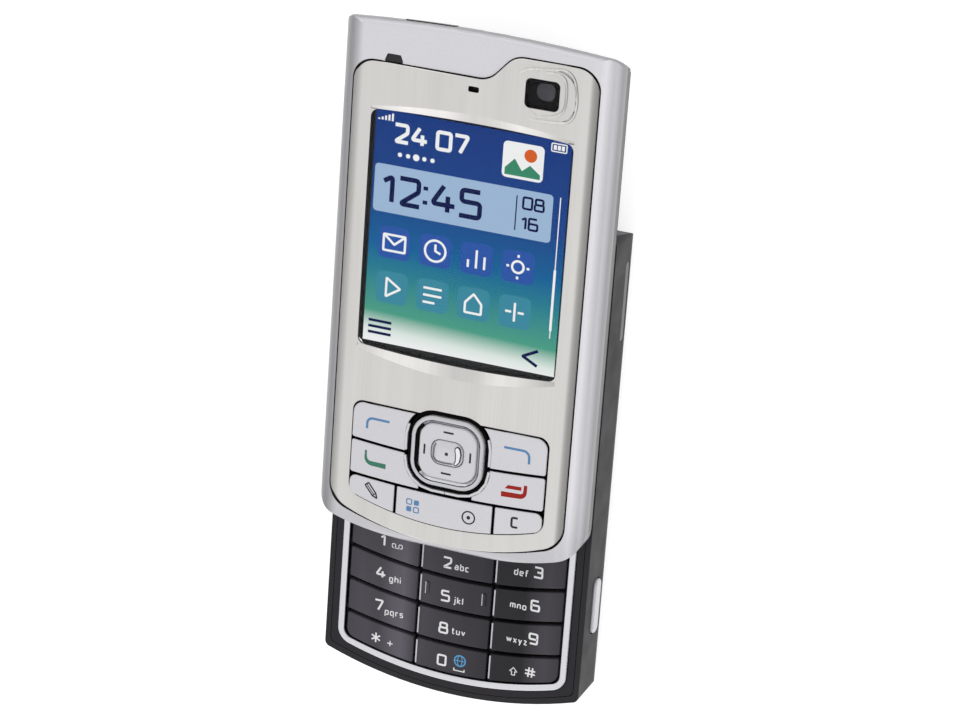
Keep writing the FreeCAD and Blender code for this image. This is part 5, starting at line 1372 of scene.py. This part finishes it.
class PHONE_OT_screen(bpy.types.Operator):
    """Light the display and draw a plain home screen on it"""
    bl_idname = "phone.screen"
    bl_label = "Screen"

    half_width = 17.8
    low_y = 21.775
    high_y = 63.825
    step = 0.015

    def execute(self, context):
        settings = context.scene.phone_screen
        glow = settings.glow
        self.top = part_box("display_module")[1].z / MM
        dress(gloss_black_plastic("display_black_border", linear("#2A2B2D"), 0.2), "display_module")
        dress(cast_clear_acrylic("hard_coated_window", linear("#F6F8F8")), "display_window")
        self.backdrop(settings)
        white = lit_pixels("white_pixels", linear("#FFFFFF"), glow)
        ink = lit_pixels("ink_pixels", settings.ink, glow)
        band = lit_pixels("pale_panel_pixels", settings.band, glow)
        deep = lit_pixels("deep_tile_pixels", linear("#2F5AAE"), glow)
        pale = lit_pixels("pale_tile_pixels", linear("#3F8FA6"), glow)
        orange = lit_pixels("orange_pixels", linear("#E2632B"), glow)
        green = lit_pixels("green_pixels", linear("#3E8F6E"), glow)
        self.paint("screen_panel", 2, band, patches=[box_path(*CLOCK_BAND, 0.7)])
        self.paint("screen_upper_tiles", 2, deep, patches=self.tiles(TILE_ROWS[0]))
        self.paint("screen_lower_tiles", 2, pale, patches=self.tiles(TILE_ROWS[1]))
        self.paint("screen_icons", 4, white, strokes=self.icons())
        self.paint("screen_picture_card", 3, white, patches=[box_path(*PICTURE_CARD, 0.8)])
        self.paint("screen_sun", 4, orange, patches=[circle_path(SUN_CENTRE, 1.15)])
        self.paint("screen_hill", 4, green, patches=[straight(*HILL)])
        self.paint("screen_status", 4, white, strokes=self.status(), patches=self.status_blocks())
        self.draw_words(white, ink)
        self.paint("screen_labels", 4, ink, strokes=self.labels())
        return {"FINISHED"}

    def paint(self, name, layer, material, strokes=(), patches=()):
        """Lay strokes and filled shapes on the display, in one of its thin layers."""
        low = level(self.top + self.step * (layer - 1))
        high = level(self.top + self.step * layer)
        mesh = bmesh.new()
        for path, width, closed in strokes:
            add_ribbon(mesh, path, width, low, high, closed)
        for outline in patches:
            add_patch(mesh, outline, low, high)
        return placed(name, mesh, "upper_half", material)

    def backdrop(self, settings):
        """Backlit picture behind the signs: blue above, sea green below, and white at the foot."""
        material, tree, shader = new_finish(
            "screen_gradient", Base_Color=opaque(linear("#05080E")), Roughness=0.6, Specular_IOR_Level=0.0,
            Emission_Strength=settings.glow)
        axes = split(tree, "Object")
        drift = add(tree, "ShaderNodeMath", {0: axes["X"], 1: 0.03}, operation="MULTIPLY")
        total = add(tree, "ShaderNodeMath", {0: axes["Y"], 1: drift.outputs[0]}, operation="ADD")
        height = add(tree, "ShaderNodeMapRange", {
            "Value": total.outputs[0], "From Min": self.low_y * MM, "From Max": self.high_y * MM})
        ramp = add(tree, "ShaderNodeValToRGB", {"Fac": height.outputs["Result"]})
        set_stops(ramp, [
            (0.0, linear("#FFFFFF")), (0.045, linear("#EAF4EE")), (0.125, settings.grass),
            (0.3, linear("#2C8598")), (0.42, settings.sea), (0.62, linear("#1F4990")), (1.0, settings.sky)])
        tree.links.new(ramp.outputs["Color"], shader.inputs["Emission Color"])
        picture = box_path(-self.half_width, self.low_y, self.half_width, self.high_y)
        self.paint("screen_picture", 1, material, patches=[picture])

    def tiles(self, base):
        return [box_path(x, base, x + TILE, base + TILE, 1.0) for x in TILE_COLUMNS]

    def icons(self):
        """Eight plain pictures for the tiles: letter, clock, bars, sun, play, note, house and plus."""
        strokes = []
        for row, base in enumerate(TILE_ROWS):
            for column, left in enumerate(TILE_COLUMNS):
                for points in ICON_LINES[(column, row)]:
                    path, closed = sign_path([(left + x, base + y) for x, y in points], 0.15)
                    strokes.append((path, ICON_WIDTH, closed))
                if (column, row) in ICON_CIRCLES:
                    middle = (left + ICON_MIDDLE, base + ICON_MIDDLE)
                    strokes.append((circle_path(middle, ICON_CIRCLES[(column, row)]), ICON_WIDTH, True))
        return strokes

    def status(self):
        """Signal bars, the battery's outline and the scroll bar."""
        strokes = []
        for i in range(5):
            x = -17.2 + 0.62 * i
            strokes.append((straight((x, 62.0), (x, 62.25 + 0.27 * i)), 0.36, False))
        strokes.append((box_path(*BATTERY_SIGN, 0.2), 0.2, True))
        strokes.append((straight(*SCROLL_RAIL), 0.18, False))
        strokes.append((straight(*SCROLL_THUMB), 0.45, False))
        return strokes

    def status_blocks(self):
        """The battery's three filled cells, and a row of page dots with the third one larger."""
        blocks = [box_path(14.55 + 0.72 * i, 62.2, 15.1 + 0.72 * i, 63.0) for i in range(3)]
        blocks += [circle_path((-13.0 + 1.5 * i, 56.3), 0.6 if i == 2 else 0.4, 16) for i in range(5)]
        return blocks

    def draw_words(self, white, ink):
        """The date, and the clock with two figures beside it."""
        for name, material, lines in (
                ("screen_date", white, [("24 07", -14.2, 58.6, 3.0, 0.66)]),
                ("screen_clock", ink, [("12:45", -15.6, 47.6, 4.6, 0.85), ("08", 9.9, 50.9, 2.0, 0.4),
                                       ("16", 9.9, 47.3, 2.0, 0.4)])):
            mesh = bmesh.new()
            low = level(self.top + self.step * 3)
            high = level(self.top + self.step * 4)
            for words, left, base, height, stroke in lines:
                for word in words.split():
                    add_words(mesh, word, left, base, height, stroke, low, high)
                    left += text_width(word, height) + height * 0.7
            placed(name, mesh, "upper_half", material)

    def labels(self):
        """A menu sign and a back sign at the foot, and the rule in the clock band."""
        strokes = [(straight((-16.9, y), (-12.6, y)), 0.5, False) for y in (25.6, 24.5, 23.4)]
        strokes.append((rounded_path(BACK_SIGN, 0.1), 0.55, False))
        strokes.append((straight(*CLOCK_RULE), 0.22, False))
        return strokes


# ---------------------------------------------------------------- cameras, sensors and speakers

FRONT_LENS = 1.85
REAR_LENS = 1.25
REAR_RING = 4.2
LENS_SEAT = 3.2
FLASH_X = 10.9
FLASH_HALF = 1.7
# The two raised lines of the stamped step, as their corners
STAMPED_ARCS = [
    [(7.6, 74.7), (9.6, 75.9), (12.6, 76.1), (17.2, 76.7), (18.5, 72.0), (17.9, 67.7), (14.4, 67.1),
     (10.2, 67.2)],
    [(12.4, 75.5), (14.6, 75.8), (16.3, 75.0), (16.5, 72.0), (16.3, 69.3), (14.4, 68.0), (11.4, 67.8)],
]
# How often their corners are cut to round them
CORNER_CUTS = 4
# The ribs of the flash lens: how many, half their length and their width
RIBS = 5
RIB_REACH = 1.3
RIB_WIDTH = 0.4


class PHONE_OT_optics(bpy.types.Operator):
    """Finish the cameras, the flash, the sensor windows and the speakers"""
    bl_idname = "phone.optics"
    bl_label = "Cameras and windows"

    def execute(self, context):
        dress(cast_clear_acrylic("front_lens_cover", linear("#EDEEF0")), "front_camera_window")
        dress(gloss_black_plastic("infrared_black_window", linear("#0C0B0E")), "infrared_window",
              "light_sensor")
        dress(cast_clear_acrylic("clear_lens_window", linear("#F2F6F8")), "rear_windows")
        barrel = spark_textured_plastic("black_camera_barrel", linear("#19191B"), 0.1, 0.004, 0.5)
        dress(barrel, "front_camera", "rear_camera")
        grille = self.woven_grille()
        dress(grille, "loudspeaker", "earpiece")
        self.front_lens()
        self.stamped_ridges(context.scene.phone_finishes)
        self.rear_lens()
        return {"FINISHED"}

    def rear_lens(self):
        """The rear camera's glass, its bright ring, and the ribs of the flash lens beside it."""
        centre = middle_of("rear_camera")
        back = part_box("rear_camera")[0].z / MM
        mesh = bmesh.new()
        add_dome(mesh, (centre.x, centre.y), REAR_LENS, LENS_SEAT, LENS_SEAT - 0.5)
        glass = gloss_black_plastic("coated_rear_glass", linear("#2A2140"), 0.8)
        placed("rear_lens", mesh, "lower_half", glass, smooth=True)
        mesh = bmesh.new()
        ring = circle_path((centre.x, centre.y), REAR_RING, 48)
        add_ribbon(mesh, ring, 0.35, level(back + 0.05), level(back - 0.02), True)
        placed("rear_lens_ring", mesh, "lower_half", polished_plating("bright_lens_ring", linear("#C9CACD")))
        surface = surface_of("rear_windows", from_above=False)
        mesh = bmesh.new()
        for step in range(RIBS):
            x = FLASH_X - FLASH_HALF + FLASH_HALF * 2 * (step + 0.5) / RIBS
            path = straight((x, centre.y - RIB_REACH), (x, centre.y + RIB_REACH))
            add_ribbon(mesh, path, RIB_WIDTH, lifted(surface, SINK), lifted(surface, -0.05))
        bright = polished_plating("bright_flash_lens_ribs", linear("#DCDDE0"))
        placed("flash_lens_ribs", mesh, "lower_half", bright)

    def stamped_ridges(self, finishes):
        """The step stamped round the front camera, drawn a little deeper than it is so that it shows."""
        surface = surface_of("faceplate")
        steel = rolled_metal("stamped_steel_ridge", finishes.steel, 0.3, (0.3, 3.0, 1.0))
        mesh = bmesh.new()
        for arc in STAMPED_ARCS:
            path = straight(*arc)
            for _ in range(CORNER_CUTS):
                cut = [a.lerp(b, share) for a, b in zip(path, path[1:]) for share in (0.25, 0.75)]
                path = [path[0], *cut, path[-1]]
            add_bead(mesh, path, 0.55, 0.2, surface)
        placed("stamped_ridges", mesh, "upper_half", steel, smooth=True)

    def woven_grille(self):
        """Woven steel mesh under the slots: small dark holes in grey wire."""
        material, tree, shader = new_finish("woven_speaker_mesh", Metallic=0.6, Roughness=0.5)
        holes = add(tree, "ShaderNodeTexVoronoi", {
            "Vector": even(tree, 0.3), "Scale": 1.0, "Randomness": 0.0})
        ramp = add(tree, "ShaderNodeValToRGB", {"Fac": holes.outputs["Distance"]})
        set_stops(ramp, [(0.3, linear("#0A0A0B")), (0.45, linear("#2B2B2E"))])
        tree.links.new(ramp.outputs["Color"], shader.inputs["Base Color"])
        return material

    def front_lens(self):
        """A black mask behind the window, and the small lens in its round hole."""
        low, high = box_of("front_camera_window")
        barrel = middle_of("front_camera")
        top = low.z - 0.03
        outer = box_path(low.x, low.y, high.x, high.y, 1.2)
        mesh = bmesh.new()
        hole = []
        for spot in outer:
            turn = math.atan2(spot.y - barrel.y, spot.x - barrel.x)
            hole.append(Vector((barrel.x + FRONT_LENS * math.cos(turn),
                                barrel.y + FRONT_LENS * math.sin(turn))))
        loops = [[mesh.verts.new(Vector((p.x, p.y, height)) * MM) for p in path]
                 for path, height in ((outer, top), (hole, top), (hole, top - 0.05), (outer, top - 0.05))]
        for one, two in zip(loops, loops[1:] + loops[:1]):
            bridge(mesh, one, two)
        mask = gloss_black_plastic("black_lens_mask", linear("#1A191B"), 0.05)
        placed("front_lens_mask", mesh, "upper_half", mask)
        lens = gloss_black_plastic("coated_lens_glass", linear("#5A585E"), 0.3)
        mesh = bmesh.new()
        add_dome(mesh, (barrel.x, barrel.y), FRONT_LENS, top - 0.3, top)
        placed("front_lens", mesh, "upper_half", lens, smooth=True)


# ---------------------------------------------------------------- insides, sockets and battery

# The card's, the battery's and the connector's contacts
CARD_PADS = 8
CARD_PAD_PITCH = 2.2
CARD_PAD_WIDTH = 0.85
CELL_PADS_X = (-4.5, 0.0, 4.5)
CELL_PAD_WIDTH = 1.6
PLUG_PINS = 12
PLUG_FIRST_X = -5.5
PLUG_PIN_WIDTH = 0.5
# How far a contact or the label stands out of its piece, and how deep a contact reaches into it
PAD_RISE = 0.012
PAD_DEPTH = 0.03
LABEL_LINES = (24.0, 20.0, 22.0, 15.0, 18.0)
LABEL_LEFT = -12.0
LABEL_SPACING = 2.2
# A plus sign's two strokes and a minus sign's one
POLARITY_STROKES = (((-9.0, -24.0), (-5.0, -24.0)), ((-7.0, -26.0), (-7.0, -22.0)),
                    ((5.0, -24.0), (9.0, -24.0)))
LEVER_MARK = (6.9, 30.0)
LEVER_RING = 0.24
# How far a ring's middle is from the sign's, and the turn from one ring to the next
LEVER_REACH = 0.42
LEVER_TURN = 2.1


class PHONE_OT_insides(bpy.types.Operator):
    """Finish the boards, mats, rails, battery, card and sockets"""
    bl_idname = "phone.insides"
    bl_label = "Insides"

    def execute(self, context):
        dress(silicone_rubber("black_silicone_mat", linear("#121213")), "keypad_mat", "upper_key_mat")
        dress(solder_masked_board("green_solder_mask", linear("#1F4A33")), "main_board", "upper_board")
        rail = rolled_metal("stamped_rail_steel", linear("#A9ABAD"), 0.3)
        dress(rail, "slide_rails", "sim_holder")
        dress(rolled_metal("spring_wire", linear("#8E9092"), 0.28, (0.3, 0.3, 0.3)), "assist_spring")
        dress(rolled_metal("zinc_plated_screw", linear("#A7A8AB"), 0.3, (0.4, 0.4, 0.4)), "housing_screws",
              "upper_screws")
        dress(polyimide_film("amber_polyimide_film", linear("#B87A2A")), "flex_cable")
        dress(rolled_metal("drawn_aluminium_can", linear("#B9BCC0"), 0.36, (5.0, 0.3, 1.0)), "battery")
        black = spark_textured_plastic("black_socket_moulding", linear("#171718"), 0.15, 0.003, 0.45)
        dress(black, "system_connector", "charger_socket", "memory_card", "nav_post")
        self.contacts()
        self.label()
        self.lever_mark()
        return {"FINISHED"}

    def contacts(self):
        """Gold-flashed contacts on the memory card, the battery and the system connector."""
        gold = rolled_metal("gold_flashed_contact", linear("#D9B45B"), 0.25, line=(0.6, 0.6, 0.6))
        card_low, card_high = box_of("memory_card")
        cell_high = box_of("battery")[1]
        plug_low = box_of("system_connector")[0]
        # Each: piece, body, lower and upper height, a contact's width, and the contacts' two ends
        runs = [("memory_card", "memory_card", card_low.z - PAD_RISE, card_low.z + PAD_DEPTH, CARD_PAD_WIDTH,
                 [((card_high.x - 3.2, y), (card_high.x - 1.2, y))
                  for y in (card_low.y + 2.4 + CARD_PAD_PITCH * i for i in range(CARD_PADS))]),
                ("battery", "battery", cell_high.z - PAD_DEPTH, cell_high.z + PAD_RISE, CELL_PAD_WIDTH,
                 [((x, cell_high.y - 2.4), (x, cell_high.y - 0.8)) for x in CELL_PADS_X]),
                ("system_connector", "lower_half", plug_low.z + 1.4, plug_low.z + 1.6, PLUG_PIN_WIDTH,
                 [((x, plug_low.y + 0.6), (x, plug_low.y + 5.0))
                  for x in (PLUG_FIRST_X + i for i in range(PLUG_PINS))])]
        for node, body, low, high, width, pads in runs:
            mesh = bmesh.new()
            for ends in pads:
                add_ribbon(mesh, straight(*ends), width, level(low), level(high))
            placed(node + "_contacts", mesh, body, gold)

    def label(self):
        """The battery's paper label, with ruled lines for print and the polarity signs."""
        paper = pad_printed_ink("white_label_paper", linear("#E3E2DE"), 0.6)
        ink = pad_printed_ink("black_label_ink", linear("#1A1A1B"))
        low, high = box_of("battery")
        face = low.z
        mesh = bmesh.new()
        patch = box_path(low.x + 2.0, low.y + 4.0, high.x - 2.0, high.y - 6.0, 1.0)
        add_patch(mesh, patch, level(face + SINK), level(face - PAD_RISE))
        placed("battery_label", mesh, "battery", paper)
        mesh = bmesh.new()
        for i, length in enumerate(LABEL_LINES):
            y = high.y - 12.0 - LABEL_SPACING * i
            path = straight((LABEL_LEFT, y), (LABEL_LEFT + length, y))
            add_ribbon(mesh, path, 0.5, level(face), level(face - 0.02))
        for i, ends in enumerate(POLARITY_STROKES):
            step = STROKE_STEP * (len(LABEL_LINES) + i)
            add_ribbon(mesh, straight(*ends), 0.8, level(face), level(face - 0.02 - step))
        placed("battery_label_print", mesh, "battery", ink)

    def lever_mark(self):
        """A clover of three small rings on the macro lever."""
        surface = surface_of("macro_lever", from_above=False)
        mesh = bmesh.new()
        for i in range(3):
            way = Vector((math.cos(LEVER_TURN * i), math.sin(LEVER_TURN * i))) * LEVER_REACH
            ring = circle_path((LEVER_MARK[0] + way.x, LEVER_MARK[1] + way.y), LEVER_RING, 16)
            add_ribbon(mesh, ring, 0.14, lifted(surface, SINK), lifted(surface, -0.01 - 0.003 * i), True)
        placed("lever_mark", mesh, "macro_lever", pad_printed_ink("pale_lever_ink", linear("#B9B9BD")))


# ---------------------------------------------------------------- studio

# How brightly the table glows for the camera, and how far it lies below the phone, in metres
FLOOR_LIFT = 0.72
FLOOR_GAP = 0.0002
# The lamps in metres: where each stands and how wide it is
KEY_LAMP = ((0.62, -0.3, 0.95), 1.4)
FILL_LAMP = ((-0.9, 0.5, 0.8), 0.8)
# How bright shiny surfaces see the sky, from its left (0) to its right (1): soft bands, dark at the right
SKY_STOPS = [(0.0, 0.45), (0.1, 0.7), (0.22, 0.98), (0.34, 0.86), (0.43, 1.05), (0.55, 0.75), (0.68, 0.42),
             (0.82, 0.6), (0.9, 0.22), (0.96, 0.05)]


class PHONE_OT_studio(bpy.types.Operator):
    """Set up the table, the lamps, the sky and the camera"""
    bl_idname = "phone.studio"
    bl_label = "Studio"

    def execute(self, context):
        studio = context.scene.phone_studio
        context.scene.view_settings.view_transform = "Standard"
        self.table(studio)
        self.lamp("key_lamp", *KEY_LAMP, studio.key_watts)
        self.lamp("fill_lamp", *FILL_LAMP, studio.fill_watts)
        self.sky(studio)
        self.camera(context)
        return {"FINISHED"}

    def table(self, studio):
        """Matt white laminate: plain, and lifted to white where nothing shades it."""
        material, tree, shader = new_finish("matt_white_laminate", Roughness=0.7)
        tinted(tree, shader, studio.floor, even(tree, 80.0), 0.004)
        eye = add(tree, "ShaderNodeLightPath")
        seen = add(tree, "ShaderNodeMath", {0: eye.outputs["Is Camera Ray"], 1: eye.outputs["Is Glossy Ray"]},
                   operation="MAXIMUM")
        seen = add(tree, "ShaderNodeMath", {0: seen.outputs[0], 1: eye.outputs["Is Transmission Ray"]},
                   operation="MAXIMUM")
        lift = add(tree, "ShaderNodeMath", {0: seen.outputs[0], 1: FLOOR_LIFT}, operation="MULTIPLY")
        shader.inputs["Emission Color"].default_value = WHITE
        tree.links.new(lift.outputs[0], shader.inputs["Emission Strength"])
        mesh = bmesh.new()
        bmesh.ops.create_grid(mesh, x_segments=1, y_segments=1, size=4.0)
        data = bpy.data.meshes.new("table")
        mesh.to_mesh(data)
        mesh.free()
        table = bpy.data.objects.new("table", data)
        table.location = (0.0, 0.0, CAD_BOX[0][2] - FLOOR_GAP)
        data.materials.append(material)
        bpy.context.scene.collection.objects.link(table)

    def lamp(self, name, place, size, watts):
        """A square soft lamp that looks at the middle of the view."""
        data = bpy.data.lights.new(name, "AREA")
        data.shape = "SQUARE"
        data.size = size
        data.energy = watts
        lamp = bpy.data.objects.new(name, data)
        lamp.location = place
        target = Vector(CAMERA_AIM) * MM
        lamp.rotation_euler = (target - Vector(place)).to_track_quat("-Z", "Y").to_euler()
        bpy.context.scene.collection.objects.link(lamp)

    def sky(self, studio):
        """Even light for matt surfaces, a banded sky for shiny ones and plain white for the camera."""
        world = bpy.data.worlds.new("studio_sky")
        world.use_nodes = True
        bpy.context.scene.world = world
        tree = world.node_tree
        out = tree.nodes["World Output"]
        axes = split(tree, "Generated")
        side = add(tree, "ShaderNodeMapRange", {
            "Value": axes["X"], "From Min": -1.0, "From Max": 1.0, "To Min": studio.sky_light * 0.8,
            "To Max": studio.sky_light * 1.25})
        soft = tree.nodes["Background"]
        soft.inputs["Color"].default_value = WHITE
        tree.links.new(side.outputs["Result"], soft.inputs["Strength"])
        across = add(tree, "ShaderNodeMapRange", {"Value": axes["X"], "From Min": -1.0, "From Max": 1.0})
        ramp = add(tree, "ShaderNodeValToRGB", {"Fac": across.outputs["Result"]})
        ramp.color_ramp.interpolation = "EASE"
        set_stops(ramp, grey_stops(SKY_STOPS))
        down = add(tree, "ShaderNodeMapRange", {
            "Value": axes["Y"], "From Min": -0.5, "From Max": -0.2, "To Min": 1.16, "To Max": 0.94})
        level_of = add(tree, "ShaderNodeMath", {0: ramp.outputs["Color"], 1: down.outputs["Result"]},
                       operation="MULTIPLY")
        seen = add(tree, "ShaderNodeBackground", {"Color": WHITE, "Strength": level_of.outputs[0]})
        plain = add(tree, "ShaderNodeBackground", {"Color": WHITE, "Strength": 1.0})
        eye = add(tree, "ShaderNodeLightPath")
        shiny = add(tree, "ShaderNodeMath", {
            0: eye.outputs["Is Glossy Ray"], 1: eye.outputs["Is Transmission Ray"]}, operation="MAXIMUM")
        first = add(tree, "ShaderNodeMixShader", {
            0: shiny.outputs[0], 1: soft.outputs[0], 2: seen.outputs[0]})
        last = add(tree, "ShaderNodeMixShader", {
            0: eye.outputs["Is Camera Ray"], 1: first.outputs[0], 2: plain.outputs[0]})
        tree.links.new(last.outputs[0], out.inputs["Surface"])

    def camera(self, context):
        data = bpy.data.cameras.new("studio_camera")
        data.lens = CAMERA_LENS
        data.sensor_width = CAMERA_SENSOR
        data.clip_start = 0.01
        data.clip_end = 50.0
        camera = bpy.data.objects.new("studio_camera", data)
        place, aim = Vector(CAMERA_PLACE) * MM, Vector(CAMERA_AIM) * MM
        turn = (aim - place).to_track_quat("-Z", "Y").to_matrix().to_4x4()
        roll = Matrix.Rotation(math.radians(CAMERA_ROLL), 4, "Z")
        camera.matrix_world = Matrix.Translation(place) @ turn @ roll
        context.scene.collection.objects.link(camera)
        context.scene.camera = camera


# ---------------------------------------------------------------- add-on

SETTINGS = {
    "phone_finishes": PhoneFinishes,
    "phone_marks": PhoneMarks,
    "phone_screen": PhoneScreen,
    "phone_studio": PhoneStudio,
}
OPERATORS = (PHONE_OT_casings, PHONE_OT_upper_keys, PHONE_OT_nav_cluster, PHONE_OT_number_keys,
             PHONE_OT_screen, PHONE_OT_optics, PHONE_OT_insides, PHONE_OT_studio)


class PHONE_PT_panel(bpy.types.Panel):
    """Lists the steps and the settings of the phone's finish"""
    bl_idname = "PHONE_PT_panel"
    bl_label = "Phone"
    bl_space_type = "VIEW_3D"
    bl_region_type = "UI"
    bl_category = "Phone"

    def draw(self, context):
        for name, group in SETTINGS.items():
            box = self.layout.box()
            for prop in group.__annotations__:
                box.prop(getattr(context.scene, name), prop)
        for operator in OPERATORS:
            self.layout.operator(operator.bl_idname)


def register():
    for group in (*SETTINGS.values(), *OPERATORS, PHONE_PT_panel):
        bpy.utils.register_class(group)
    for name, group in SETTINGS.items():
        setattr(bpy.types.Scene, name, bpy.props.PointerProperty(type=group))


def unregister():
    for name in SETTINGS:
        delattr(bpy.types.Scene, name)
    for group in (PHONE_PT_panel, *OPERATORS, *SETTINGS.values()):
        bpy.utils.unregister_class(group)


def main():
    register()
    for operator in OPERATORS:
        getattr(bpy.ops.phone, operator.bl_idname.split(".")[1])()


if __name__ == "__main__":
    main()
